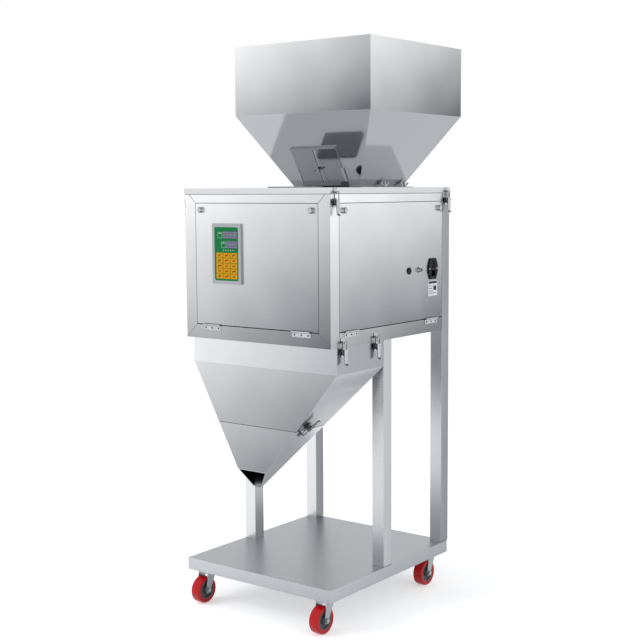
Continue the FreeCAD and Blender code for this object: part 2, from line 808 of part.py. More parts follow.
def latch_keeper(seat):
    """The screwed plate with the rolled-back catch that the loop pulls on."""
    wire = latch_reach - latch_arm
    under = wire - wire_r - 0.1
    lip = latch_stand + wire_r + slide_gap
    hook_w = latch_w / 2
    plate = box(around(0, latch_w + 1), (wire - 4, wire + 10), (seat, seat + latch_sheet))
    shelf = box(around(0, hook_w), (under - catch_t, under), (seat, lip + latch_sheet))
    edge = box(around(0, hook_w), (under - catch_roll, under), (lip, lip + latch_sheet))
    return one_solid(plate.fuse([shelf, edge]))


lid_latch_z = lid_z - 0.5 - (latch_reach - latch_arm + 10)
funnel_latch_z = cabinet_z - 9.5
nozzle_latch_drop = 221.0
nozzle_latch_y = 38.0
lid_latch_y = (tube / 2, cabinet_d - tube / 2)
funnel_latch_y = (51.0, 202.0)
panel_out = V(1, 0, -side_fall).normalize()
panel_run = (funnel_level(tip_drop, 0)[0][1] - half_w, tip_y - collar_front - collar_d,
             collar_h - tip_drop)
panel_down = V(*panel_run).normalize()
OUT = V(1, 0, 0)
UP = V(0, 0, 1)
latch_seats = {
    "lid": [(V(half_w, y, lid_latch_z), UP, OUT, lid_out) for y in lid_latch_y],
    "funnel": [(V(half_w, y, funnel_latch_z), UP, OUT, 0) for y in funnel_latch_y],
    "nozzle": [(V(half_w - (nozzle_latch_drop - collar_h) * side_fall, nozzle_latch_y,
                  cabinet_z - nozzle_latch_drop), panel_down, panel_out, 0)],
}


def latch_set(shape_of, places):
    """The same latch piece at each place on the right, drawn by a function of the seat."""
    return [placed(shape_of(seat), at, along.cross(out), along, out)
            for at, along, out, seat in places]


castor_x = platform_w / 2 - castor_side_inset
castor_y = {"front": platform_front + castor_front_inset,
            "rear": platform_front + platform_d - castor_back_inset}
raceway_z = castor_h - castor_plate_t - raceway_h / 2
fork_top = raceway_z - slide_gap
fork_in = wheel_w / 2 + 2
kingpin_r = 4.0


def castor_mount():
    """The bolted plate with the raceway and the kingpin below it, about its swivel axis."""
    top = castor_h - castor_plate_t
    body = box(around(0, castor_plate), around(0, castor_plate), (top, castor_h))
    body = body.fuse(rod(raceway_r, V(0, 0, raceway_z), V(0, 0, top)))
    foot = fork_top - fork_t - slide_gap
    body = body.fuse(rod(kingpin_r, V(0, 0, foot - fork_t), V(0, 0, top)))
    body = body.fuse(rod(kingpin_r + 3, V(0, 0, foot - fork_t), V(0, 0, foot)))
    inset = castor_plate / 2 - 9
    for x in (-inset, inset):
        for y in (-inset, inset):
            body = body.fuse(rod(5.5, V(x, y, top - 3.5), V(x, y, top)))
    return one_solid(body)


def castor_fork():
    """The swivelling fork: a round crown and two slanting legs."""
    axle_z = wheel_d / 2
    crown = rod(raceway_r - 1, V(0, 0, fork_top - fork_t), V(0, 0, fork_top))
    crown = crown.fuse(box(around(0, 2 * (fork_in + fork_t)), (-castor_trail, 8),
                           (fork_top - fork_t, fork_top)))
    crown = crown.cut(rod(kingpin_r + pin_gap, V(0, 0, 0), V(0, 0, castor_h)))
    eye = 9.0
    for side in (-1, 1):
        x = sorted((side * fork_in, side * (fork_in + fork_t)))
        leg = prism([V(x[0], 8, fork_top), V(x[0], -castor_trail, fork_top),
                     V(x[0], -castor_trail - eye, axle_z), V(x[0], eye - castor_trail, axle_z)],
                    V(fork_t, 0, 0))
        leg = leg.fuse(rod(eye, V(x[0], -castor_trail, axle_z), V(x[1], -castor_trail, axle_z)))
        crown = crown.fuse(leg)
    reach = fork_in + fork_t
    return one_solid(crown.cut(rod(axle_r, V(-reach, -castor_trail, axle_z),
                                   V(reach, -castor_trail, axle_z))))


def castor_axle():
    """The axle bolt with its head and nut against the fork's legs."""
    reach = fork_in + fork_t
    axle_z = wheel_d / 2
    bolt = rod(axle_r, V(-reach, -castor_trail, axle_z), V(reach, -castor_trail, axle_z))
    hexagon = [V(0, 7 * math.cos(math.radians(60 * i)) - castor_trail,
                 7 * math.sin(math.radians(60 * i)) + axle_z) for i in range(6)]
    head = prism(hexagon, V(5, 0, 0))
    nut = head.copy()
    nut.translate(V(reach, 0, 0))
    head.translate(V(-reach - 5, 0, 0))
    return one_solid(bolt.fuse([nut, head]))


def spun(outline, centre):
    """A closed outline of (distance along X, radius) pairs turned about the axle."""
    points = [V(x, 0, r) + centre for x, r in outline]
    face = Part.Face(Part.makePolygon(points + [points[0]]))
    return face.revolve(centre, V(1, 0, 0), 360)


def wheel_parts():
    """The moulded hub and the tyre bonded round it, about the castor's swivel axis."""
    centre = V(0, -castor_trail, wheel_d / 2)
    half = wheel_w / 2
    outer = wheel_d / 2
    rim = outer - tyre_t
    boss = fork_in - slide_gap
    hub = spun([(-boss, axle_r + pin_gap), (boss, axle_r + pin_gap), (boss, 9), (4, 10),
                (4, rim - 5), (half - 1, rim - 4), (half - 1, rim), (1 - half, rim),
                (1 - half, rim - 4), (-4, rim - 5), (-4, 10), (-boss, 9)], centre)
    tyre = spun([(-half, rim), (half, rim), (half, outer - 4), (half - 2, outer - 1.2),
                 (half - 6, outer), (6 - half, outer), (2 - half, outer - 1.2),
                 (-half, outer - 4)], centre)
    return hub, tyre


def leaning(y_low, y_high, z_low, z_high, width):
    """A block whose front and back faces lean back with the feeder's leaf springs."""
    lean = math.tan(math.radians(spring_lean))
    base = cabinet_z + tube + deck_sheet
    low, high = (z_low - base) * lean, (z_high - base) * lean
    x = -width / 2
    return prism([V(x, y_low + low, z_low), V(x, y_high + low, z_low),
                  V(x, y_high + high, z_high), V(x, y_low + high, z_high)], V(width, 0, 0))


drive_back = drive_front + drive_d
floor_top = cabinet_z + tube + deck_sheet
tray_low = cabinet_z + tray_z - deck_sheet


def feeder_tray():
    """The open trough under the hopper's neck, with the two brackets below it."""
    z = (tray_low, cabinet_z + tray_z + tray_wall_h)
    outer = box(around(0, tray_w + 2 * deck_sheet), (tray_front, tray_back), z)
    inner = box(around(0, tray_w), (tray_front, tray_back - deck_sheet),
                 (cabinet_z + tray_z, z[1]))
    low = tray_low - bracket_h
    front = drive_front + spring_gap
    back = drive_back - spring_gap
    body = outer.cut(inner)
    body = body.fuse(leaning(front, front + bracket_t, low, tray_low, spring_w))
    return one_solid(body.fuse(leaning(back - bracket_t, back, low, tray_low, spring_w)))


def feeder_drive():
    """The heavy base of the feeder, which holds its magnet coil."""
    body = leaning(drive_front, drive_back, floor_top, floor_top + drive_h, drive_w)
    coil = box(around(0, coil_w), around((drive_front + drive_back) / 2 + coil_back, coil_d),
               (floor_top + drive_h, floor_top + drive_h + coil_h))
    return one_solid(body.fuse(coil))


def feeder_springs():
    """The front and back leaf springs, clamped to the base's ends."""
    low, high = floor_top + 10, floor_top + spring_h
    return [leaning(drive_front - spring_t, drive_front, low, high, spring_w),
            leaning(drive_back, drive_back + spring_t, low, high, spring_w)]


bucket_back = bucket_front + bucket_d
flap_axis_z = cabinet_z + bucket_bottom - flap_gap - sheet / 2
flap_axis_y = (bucket_front - 3.0, bucket_back + 3.0)
ear_x = bucket_w / 2 + slide_gap


def weigh_bucket():
    """The weigh bucket: four walls, a boss for the load cell and ears for the flap pins."""
    z = (cabinet_z + bucket_bottom, cabinet_z + bucket_top)
    half = bucket_w / 2
    body = box((-half, half), (bucket_front, bucket_back), z)
    body = body.cut(box((sheet - half, half - sheet), (bucket_front + sheet, bucket_back - sheet), z))
    body = body.fuse(box((-cell_l / 2, cell_end - cell_l / 2), (bucket_back, bucket_back + cell_seat),
                         (cabinet_z + cell_z + 2, cabinet_z + cell_z + cell_h - 2)))
    for side in (-1, 1):
        x = sorted((side * ear_x, side * (ear_x + sheet)))
        for y in flap_axis_y:
            ear = box(x, (y - 4, y + 4), (flap_axis_z - 4, flap_axis_z + 16))
            inward = 6 if y < bucket_front else -6
            link = box(sorted((side * (half - sheet), side * (ear_x + sheet))),
                       sorted((y + inward, y + inward / 6)),
                       (flap_axis_z + 8, flap_axis_z + 16))
            body = body.fuse([ear, link])
            body = body.cut(rod(flap_pin_r + pin_gap, V(x[0], y, flap_axis_z), V(x[1], y, flap_axis_z)))
    return one_solid(body)


def bucket_flap(front):
    """One of the two bottom flaps, with its hinge bar and pin ends."""
    y = flap_axis_y[0] if front else flap_axis_y[1]
    middle = (bucket_front + bucket_back) / 2
    tip = middle - slide_gap / 2 if front else middle + slide_gap / 2
    half = bucket_w / 2
    plate = box((-half, half), sorted((y, tip)), around(flap_axis_z, sheet))
    bar = rod(flap_barrel_r, V(-half, y, flap_axis_z), V(half, y, flap_axis_z))
    reach = ear_x + sheet + 1
    pins = rod(flap_pin_r, V(-reach, y, flap_axis_z), V(reach, y, flap_axis_z))
    return one_solid(plate.fuse([bar, pins]))


def load_cell():
    """The bending bar that carries the bucket, with its twin holes."""
    y = (bucket_back + cell_seat, bucket_back + cell_seat + cell_t)
    z = (cabinet_z + cell_z, cabinet_z + cell_z + cell_h)
    bar = box(around(0, cell_l), y, z)
    hole = 8.5
    for x in (-hole, hole):
        bar = bar.cut(rod(hole - 0.5, V(x, y[0], sum(z) / 2), V(x, y[1], sum(z) / 2)))
    return bar.cut(box((-hole, hole), y, around(sum(z) / 2, 4)))


def cell_bracket():
    """The bent plate that holds the load cell's fixed end above the floor sheet."""
    x = (cell_l / 2 - cell_end, cell_l / 2)
    y = bucket_back + cell_seat + cell_t
    upright = box(x, (y, y + cell_bracket_t), (floor_top, cabinet_z + cell_z + cell_h))
    foot = box(x, (y, y + cell_foot_d), (floor_top, floor_top + cell_foot_t))
    return one_solid(upright.fuse(foot))


def lid_knob():
    """A fluted black knob that turns on its screw in the lid."""
    crown = 3.0
    at = V(lid_knob_x, lid_knob_y, lid_z + slide_gap)
    body = rod(lid_knob_r, at, at + UP * (lid_knob_h - crown))
    dome = Part.makeCone(lid_knob_r, lid_knob_r - crown, crown, at + UP * (lid_knob_h - crown))
    body = body.fuse(dome)
    for i in range(8):
        turn = math.radians(45 * i)
        spot = at + V(math.cos(turn), math.sin(turn), 0) * (lid_knob_r + 1.2)
        body = body.cut(rod(2.6, spot, spot + UP * lid_knob_h))
    return one_solid(body.fuse(rod(screw_r, at - UP * 12, at)))


def rail_knobs():
    """The seats of the four door knobs: place, local X, local Y and outward axis."""
    z = door_high - knob_drop
    x = inner_x - door_gap - knob_inset
    y = tube + door_gap + knob_inset
    ahead = V(0, -1, 0)
    front = [(V(side * x, 0, z), V(1, 0, 0), UP, ahead) for side in (-1, 1)]
    side = [(V(half_w, at, z), V(0, 1, 0), UP, OUT) for at in (y, cabinet_d - y)]
    return front + side


def hinge_places():
    """Each hinge's seam point and its turn about Z, for the front and the side door."""
    z = door_low
    front = [(V(side * front_hinge_x, 0, z), 0) for side in (-1, 1)]
    side = [(V(half_w, side_hinge_y + i * side_hinge_pitch, z), 90) for i in (0, 1)]
    return front, side


def turned(shape, at, angle):
    """A hinge leaf turned about Z and set on its seam."""
    copy = shape.copy()
    copy.rotate(V(0, 0, 0), UP, angle)
    copy.translate(at)
    return copy


def build():
    """Draw every piece and write one file for each node."""
    frame_top = cabinet_z + frame_h
    save("platform", [platform()])
    posts = [post(side, post_front, cabinet_z) for side in (-1, 1)]
    save("posts", posts + [post(side, back_rail, frame_top) for side in (-1, 1)])
    save("cabinet_frame", cabinet_frame())
    save("cabinet_floor", [cabinet_floor()])
    side_y = (tube + panel_gap, back_rail - panel_gap)
    wide = (panel_gap - inner_x, inner_x - panel_gap)
    tall = (cabinet_z + tube + panel_gap, frame_top - tube - panel_gap)
    left = pan((-half_w, panel_depth - half_w), side_y, tall, "left")
    save("left_panel", [left])
    back = pan(wide, (cabinet_d - panel_depth, cabinet_d), tall, "back")
    save("back_panel", [back])
    save("top_lid", [top_lid()])
    save("lid_window", [lid_window()])
    save("lid_knob", [lid_knob()])
    guides = [gate_guide(side) for side in (-1, 1)]
    save("hopper", [one_solid(hopper().fuse([gate_stud()] + guides))])
    save("gate_plate", [gate_plate()])
    nut = wing_nut(stud_r - slide_gap + pin_gap)
    nut.translate(V(0, gate_stud_at, gate_t + 2 * slide_gap))
    save("gate_wing_nut", [on_slope(nut)])
    nuts = []
    for spot in stud_places():
        lid_nut = wing_nut(stud_r)
        lid_nut.rotate(V(0, 0, 0), UP, 60)
        lid_nut.translate(spot + UP * flange_t)
        nuts.append(lid_nut)
    studs = [rod(stud_r, spot - UP * stud_low, spot + UP * stud_high) for spot in stud_places()]
    save("hopper_clamps", nuts + studs)

    save("front_door", [front_door()])
    save("side_door", [side_door()])
    frame_leaf, door_leaf = hinge_pair()
    front_hinges, side_hinges = hinge_places()
    save("hinge_frame_leaves", [turned(frame_leaf, at, turn) for at, turn in front_hinges + side_hinges])
    save("front_door_leaves", [turned(door_leaf, at, turn) for at, turn in front_hinges])
    save("side_door_leaves", [turned(door_leaf, at, turn) for at, turn in side_hinges])
    names = ("front_knob_left", "front_knob_right", "side_knob_front", "side_knob_rear")
    reach = panel_depth + 2 * tab_t + 2
    for name, seat in zip(names, rail_knobs()):
        save(name, [knob(*seat, reach)])
    save("controller_case", [controller_case()])
    save("control_film", [control_film()])
    save("power_inlet", [power_inlet()])
    save("rocker_switch", [rocker_switch()])
    save("foot_switch_socket", [round_socket()])
    save("cable_bung", [bung()])

    save("funnel", [funnel()])
    save("nozzle", [nozzle()])
    every = latch_seats["lid"] + latch_seats["funnel"] + latch_seats["nozzle"]
    bases = latch_set(lambda seat: latch_base(), every)
    plates = bases + latch_set(latch_keeper, every)
    save("latch_plates", plates + [mirrored(piece) for piece in plates])
    for group, places in latch_seats.items():
        levers = latch_set(lambda seat: latch_lever(), places)
        bails = latch_set(lambda seat: latch_bail(), places)
        save(group + "_levers_right", levers)
        save(group + "_bails_right", bails)
        save(group + "_levers_left", [mirrored(piece) for piece in levers])
        save(group + "_bails_left", [mirrored(piece) for piece in bails])

    mounts = []
    for end, y in castor_y.items():
        for side, sign in (("left", -1), ("right", 1)):
            shift = V(sign * castor_x, y, 0)
            pieces = [castor_mount(), castor_fork(), castor_axle(), *wheel_parts()]
            for piece in pieces:
                piece.translate(shift)
            mounts.append(pieces[0])
            save("castor_fork_" + end + "_" + side, pieces[1:3])
            save("wheel_" + end + "_" + side, pieces[3:])
    save("castor_mounts", mounts)

    save("feeder_tray", [feeder_tray()])
    save("feeder_drive", [feeder_drive()])
    save("feeder_springs", feeder_springs())
    save("weigh_bucket", [weigh_bucket()])
    save("bucket_flap_front", [bucket_flap(True)])
    save("bucket_flap_rear", [bucket_flap(False)])
    save("load_cell", [load_cell()])
    save("cell_bracket", [cell_bracket()])


build()
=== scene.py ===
import math

import bmesh
import bpy
from mathutils import Matrix, Vector


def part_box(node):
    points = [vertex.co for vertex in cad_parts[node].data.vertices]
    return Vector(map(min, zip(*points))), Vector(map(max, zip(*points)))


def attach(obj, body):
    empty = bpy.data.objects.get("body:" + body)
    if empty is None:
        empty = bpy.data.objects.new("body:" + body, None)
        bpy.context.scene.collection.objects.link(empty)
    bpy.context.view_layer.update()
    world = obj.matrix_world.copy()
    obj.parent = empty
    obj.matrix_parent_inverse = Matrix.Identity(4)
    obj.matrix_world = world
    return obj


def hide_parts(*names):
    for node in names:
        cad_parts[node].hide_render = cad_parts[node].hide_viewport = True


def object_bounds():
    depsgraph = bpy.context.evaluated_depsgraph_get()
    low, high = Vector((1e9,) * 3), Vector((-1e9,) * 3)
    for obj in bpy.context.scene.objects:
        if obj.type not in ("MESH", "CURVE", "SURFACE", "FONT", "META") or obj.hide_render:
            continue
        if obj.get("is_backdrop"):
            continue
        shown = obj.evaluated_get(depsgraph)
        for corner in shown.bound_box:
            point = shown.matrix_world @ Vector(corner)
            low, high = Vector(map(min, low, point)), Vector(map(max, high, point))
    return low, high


# Granule filling machine on a castor stand, dressed over its CAD frame.
# All places are in metres in the frame of the CAD model: X to the right, Y to the back,
# Z up, with the floor at 0.

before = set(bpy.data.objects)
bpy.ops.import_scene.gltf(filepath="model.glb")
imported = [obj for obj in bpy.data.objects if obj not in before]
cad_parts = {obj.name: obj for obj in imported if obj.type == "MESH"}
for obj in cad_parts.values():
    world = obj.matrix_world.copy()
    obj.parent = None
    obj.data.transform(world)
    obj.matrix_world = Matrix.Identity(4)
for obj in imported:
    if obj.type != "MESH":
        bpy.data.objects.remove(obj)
cad_low, cad_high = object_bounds()


# Camera.
# It stands in front of the machine and to its right, a little above the funnel, and looks
# slightly down. The place, turn and lens are those that fit the photograph's edges.
view_yaw = math.radians(-37.336)
view_pitch = math.radians(-6.065)
view_roll = math.radians(-0.348)
look = Vector((math.sin(view_yaw) * math.cos(view_pitch),
               math.cos(view_yaw) * math.cos(view_pitch), math.sin(view_pitch)))
level_right = Vector((math.cos(view_yaw), -math.sin(view_yaw), 0))
level_up = level_right.cross(look)
view_right = level_right * math.cos(view_roll) + level_up * math.sin(view_roll)
view_up = level_up * math.cos(view_roll) - level_right * math.sin(view_roll)
lens = bpy.data.cameras.new("camera")
lens.sensor_width = 36
lens.lens = 68.51
lens.clip_end = 60
camera = bpy.data.objects.new("camera", lens)
camera.matrix_world = Matrix((
    (view_right.x, view_up.x, -look.x, 2.1167),
    (view_right.y, view_up.y, -look.y, -2.8068),
    (view_right.z, view_up.z, -look.z, 1.1722),
    (0, 0, 0, 1)))
bpy.context.scene.collection.objects.link(camera)
bpy.context.scene.camera = camera
bpy.context.scene.view_settings.view_transform = "Standard"


# Studio.
# A white room with a white floor that keeps a faint shadow. A large soft lamp stands at
# the upper left in front of the machine, and a weaker one lights its right side. Polished
# sheets mirror the room and not the lamps, which would burn them out.
def linear(hex_colour):
    """The linear colour of an sRGB hex value."""
    parts = [int(hex_colour[i:i + 2], 16) / 255 for i in (1, 3, 5)]
    return [p / 12.92 if p <= 0.04045 else ((p + 0.055) / 1.055) ** 2.4 for p in parts] + [1]


def add(material, kind, inputs=None, **settings):
    """Adds a node to a material or a world, with its settings, values and links."""
    node = material.node_tree.nodes.new(kind)
    for name, value in settings.items():
        setattr(node, name, value)
    for name, value in (inputs or {}).items():
        if isinstance(value, bpy.types.NodeSocket):
            material.node_tree.links.new(value, node.inputs[name])
        else:
            node.inputs[name].default_value = value
    return node


def seen_directly(material):
    """1 where a ray comes from the camera, a mirror-like surface or a clear one."""
    ray = add(material, "ShaderNodeLightPath")
    first = add(material, "ShaderNodeMath", {0: ray.outputs["Is Camera Ray"],
                1: ray.outputs["Is Glossy Ray"]}, operation="MAXIMUM")
    both = add(material, "ShaderNodeMath", {0: first.outputs[0],
               1: ray.outputs["Is Transmission Ray"]}, operation="MAXIMUM")
    return both.outputs[0]


room = bpy.data.worlds.new("white room")
room.use_nodes = True
room.node_tree.nodes.clear()
room_light = add(room, "ShaderNodeBackground", {"Color": (0.97, 0.985, 1, 1), "Strength": 0.66})
room_seen = add(room, "ShaderNodeBackground", {"Color": (1, 1, 1, 1), "Strength": 1.0})
room_both = add(room, "ShaderNodeMixShader", {0: seen_directly(room),
                1: room_light.outputs[0], 2: room_seen.outputs[0]})
add(room, "ShaderNodeOutputWorld", {0: room_both.outputs[0]})
bpy.context.scene.world = room

floor_mesh = bpy.data.meshes.new("floor")
floor_form = bmesh.new()
bmesh.ops.create_grid(floor_form, x_segments=1, y_segments=1, size=9)
floor_form.to_mesh(floor_mesh)
floor_form.free()
floor = bpy.data.objects.new("floor", floor_mesh)
bpy.context.scene.collection.objects.link(floor)
floor.location.z = cad_low[2] - 0.0005
floor_paint = bpy.data.materials.new("white floor paint")
floor_paint.use_nodes = True
floor_paint.node_tree.nodes.clear()
floor_matt = add(floor_paint, "ShaderNodeBsdfDiffuse", {"Color": linear("#F4F4F4")})
floor_glow = add(floor_paint, "ShaderNodeEmission", {"Color": (1, 1, 1, 1), "Strength": 0.42})
floor_lit = add(floor_paint, "ShaderNodeAddShader", {0: floor_matt.outputs[0],
                1: floor_glow.outputs[0]})
floor_both = add(floor_paint, "ShaderNodeMixShader", {0: seen_directly(floor_paint),
                 1: floor_matt.outputs[0], 2: floor_lit.outputs[0]})
add(floor_paint, "ShaderNodeOutputMaterial", {0: floor_both.outputs[0]})
floor_mesh.materials.append(floor_paint)
floor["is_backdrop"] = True

for lamp_name, place, aim, side, power in (
        ("key lamp", (-2.6, -3.4, 3.4), (0, 0, 0.9), 2.4, 80),
        ("right lamp", (3.6, -0.4, 2.0), (0, 0, 0.9), 2.0, 16)):
    lamp_data = bpy.data.lights.new(lamp_name, "AREA")
    lamp_data.shape = "SQUARE"
    lamp_data.size = side
    lamp_data.energy = power
    lamp = bpy.data.objects.new(lamp_name, lamp_data)
    lamp.visible_glossy = False
    lamp.location = place
    lamp.rotation_euler = (Vector(aim) - Vector(place)).to_track_quat("-Z", "Y").to_euler()
    bpy.context.scene.collection.objects.link(lamp)


# Castor platform and posts.
# A folded tray of stainless sheet on two channels, with four square tubes welded to it.
# The sheet is satin polished, and each face is painted lighter at its upper left corner, as
# painted light and shade.
def new_material(name):
    """An empty node material."""
    material = bpy.data.materials.new(name)
    material.use_nodes = True
    material.node_tree.nodes.clear()
    return material


def close(material, **sockets):
    """Ends a material with one Principled shader. Socket names have _ for a space."""
    inputs = {name.replace("_", " "): value for name, value in sockets.items()}
    shader = add(material, "ShaderNodeBsdfPrincipled", inputs)
    add(material, "ShaderNodeOutputMaterial", {0: shader.outputs[0]})
    return material


def uneven(name, scale, first, second, texture="Noise", **sockets):
    """A material whose colour drifts between two tones. The scale is cells per metre."""
    material = new_material(name)
    where = add(material, "ShaderNodeTexCoord")
    cloud = add(material, "ShaderNodeTex" + texture,
                {"Vector": where.outputs["Object"], "Scale": scale})
    share = cloud.outputs["Distance" if texture == "Voronoi" else 0]
    tone = add(material, "ShaderNodeMix", {0: share, 6: linear(first), 7: linear(second)},
               data_type="RGBA")
    return close(material, Base_Color=tone.outputs[2], **sockets)


def satin_stainless_painted_shade(name, box, light, dark, rough, fall=0.5, sides=None, under=None, top=None,
                    hollow=False):
    """Satin polished stainless sheet with painted light and shade. Each face is painted
    lighter at its upper left and darker at its lower right, between two tones. The fall is
    the share of that change that goes down the face. Faces to the left and right can have
    two painted tones of their own. So can faces that look down, one at the front and back and
    one at the sides, and those that look up have one painted tone. In a hollow piece the walls
    that face the middle of the box keep the light, dull finish that the sheet came with."""
    low, high = box
    material = new_material(name)
    where = add(material, "ShaderNodeTexCoord")
    point = add(material, "ShaderNodeSeparateXYZ", {0: where.outputs["Object"]})
    facing = add(material, "ShaderNodeSeparateXYZ", {0: where.outputs["Normal"]})
    # Painted light and shade: the colour runs from light at the box's upper left to dark at its
    # lower right.
    along_x, along_y, down = [
        add(material, "ShaderNodeMapRange", {0: point.outputs[axis], 1: start, 2: end}).outputs[0]
        for axis, start, end in (("X", low[0], high[0]), ("Y", low[1], high[1]),
                                 ("Z", high[2], low[2]))]
    sideways = add(material, "ShaderNodeMath", {0: facing.outputs["X"]}, operation="ABSOLUTE")
    is_side = add(material, "ShaderNodeMath", {0: sideways.outputs[0], 1: 0.6},
                  operation="GREATER_THAN")
    across = add(material, "ShaderNodeMix", {0: is_side.outputs[0], 2: along_x, 3: along_y})
    both = add(material, "ShaderNodeMix", {0: fall, 2: across.outputs[0], 3: down})
    # Polishing marks 0.4 mm apart, drawn 3 mm apart so that they show a little.
    marks = add(material, "ShaderNodeTexNoise", {"Vector": where.outputs["Object"], "Scale": 330.0,
                "Detail": 2.0})
    cloud = add(material, "ShaderNodeTexNoise", {"Vector": where.outputs["Object"], "Scale": 7.0,
                "Detail": 1.0})
    drift = add(material, "ShaderNodeMapRange", {0: cloud.outputs[0], 1: 0.2, 2: 0.8,
                3: -0.05, 4: 0.05})
    shade = add(material, "ShaderNodeMath", {0: both.outputs[0], 1: drift.outputs[0]},
                operation="ADD")
    ramp = add(material, "ShaderNodeMix", {0: shade.outputs[0], 6: linear(light), 7: linear(dark)},
               data_type="RGBA")
    # Painted light and shade on faces that look left or right, with tones of their own.
    side_light, side_dark = sides or (light, dark)
    side_ramp = add(material, "ShaderNodeMix", {0: shade.outputs[0], 6: linear(side_light),
                    7: linear(side_dark)}, data_type="RGBA")
    tone = add(material, "ShaderNodeMix", {0: is_side.outputs[0], 6: ramp.outputs[2],
               7: side_ramp.outputs[2]}, data_type="RGBA")
    # Painted shade on faces that look down, and painted light on faces that look up.
    looks_down = add(material, "ShaderNodeMath", {0: facing.outputs["Z"], 1: -0.2},
                     operation="LESS_THAN")
    under_ends, under_sides = under or (dark, dark)
    below = add(material, "ShaderNodeMix", {0: is_side.outputs[0], 6: linear(under_ends),
                7: linear(under_sides)}, data_type="RGBA")
    lower = add(material, "ShaderNodeMix", {0: looks_down.outputs[0], 6: tone.outputs[2],
                7: below.outputs[2]}, data_type="RGBA")
    looks_up = add(material, "ShaderNodeMath", {0: facing.outputs["Z"], 1: 0.7},
                   operation="GREATER_THAN")
    upper = add(material, "ShaderNodeMix", {0: looks_up.outputs[0], 6: lower.outputs[2],
                7: linear(top or light)}, data_type="RGBA")
    polish = add(material, "ShaderNodeMapRange", {0: marks.outputs[0], 1: 0.3, 2: 0.7,
                 3: rough - 0.03, 4: rough + 0.03})
    base, gloss, metal = upper.outputs[2], polish.outputs[0], 1.0
    if hollow:
        centre = [(a + b) / 2 for a, b in zip(low, high)]
        outward = add(material, "ShaderNodeVectorMath", {0: where.outputs["Object"], 1: centre},
                      operation="SUBTRACT")
        away = add(material, "ShaderNodeVectorMath", {0: outward.outputs[0],
                   1: where.outputs["Normal"]}, operation="DOT_PRODUCT")
        is_inside = add(material, "ShaderNodeMath", {0: away.outputs["Value"], 1: 0.0},
                        operation="LESS_THAN").outputs[0]
        base = add(material, "ShaderNodeMix", {0: is_inside, 6: base, 7: linear("#DCDDDF")},
                   data_type="RGBA").outputs[2]
        gloss = add(material, "ShaderNodeMath", {0: is_inside, 1: 0.3, 2: gloss},
                    operation="MULTIPLY_ADD").outputs[0]
        metal = add(material, "ShaderNodeMapRange", {0: is_inside, 3: 1.0, 4: 0.5}).outputs[0]
    rounded = add(material, "ShaderNodeBevel", {"Radius": 0.0012}, samples=4)
    grain = add(material, "ShaderNodeBump", {"Strength": 0.04, "Distance": 0.0002,
                "Height": marks.outputs[0], "Normal": rounded.outputs[0]})
    return close(material, Base_Color=base, Metallic=metal, Roughness=gloss,
                 Normal=grain.outputs[0])


def finish_nodes(material, *nodes):
    """Gives CAD nodes one material."""
    for node in nodes:
        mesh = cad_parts[node].data
        mesh.materials.clear()
        mesh.materials.append(material)


# The platform's and posts' tones are painted light and shade, lighter at the upper left; the
# platform's top has a painted tone of its own.
finish_nodes(satin_stainless_painted_shade("satin stainless platform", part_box("platform"),
             "#C2C4C7", "#A6A9AD", 0.34, 0.3, ("#B4B7BB", "#9FA2A6"),
             top="#A6A9AD"), "platform")
finish_nodes(satin_stainless_painted_shade("satin stainless posts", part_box("posts"),
             "#DEDFE1", "#C0C2C6", 0.3, 0.3, ("#C6C8CC", "#83868B")), "posts")


# Castors.
# Swivel castors with a pressed zinc-plated fork, a dark polyamide hub and a moulded red
# polyurethane tyre with rounded shoulders.
def piece(name, form, body, material, smooth=0):
    """Makes an object of a finished bmesh, rides it on a body and gives it a material."""
    bmesh.ops.recalc_face_normals(form, faces=form.faces)
    mesh = bpy.data.meshes.new(name)
    form.to_mesh(mesh)
    form.free()
    mesh.materials.append(material)
    if smooth:
        mesh.shade_smooth()
        mesh.set_sharp_from_angle(angle=math.radians(smooth))
    made = bpy.data.objects.new(name, mesh)
    bpy.context.scene.collection.objects.link(made)
    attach(made, body)
    return made


def turned(form, profile, centre, axis, steps):
    """Spins a profile of (radius, distance along the axis) into a closed turned piece."""
    side = axis.orthogonal().normalized()
    points = [form.verts.new(centre + side * r + axis * h) for r, h in profile]
    edges = [form.edges.new(pair) for pair in zip(points, points[1:])]
    bmesh.ops.spin(form, geom=points + edges, cent=centre, axis=axis, angle=2 * math.pi,
                   steps=steps, use_merge=True, use_duplicate=False)
    bmesh.ops.remove_doubles(form, verts=form.verts, dist=1e-6)


# Zinc plate has a fine crystal, about 2 mm, that is only just seen.
zinc = uneven("bright zinc plate", 400.0, "#B4B8BC", "#8F9398", "Voronoi", Metallic=1.0,
              Roughness=0.3)
red_tyre = uneven("moulded red polyurethane", 60.0, "#B5050D", "#C50A12", Roughness=0.35,
                  Specular_IOR_Level=0.35)
hub_plastic = uneven("moulded black polyamide", 900.0, "#3A3C40", "#4A4C51", Roughness=0.42)

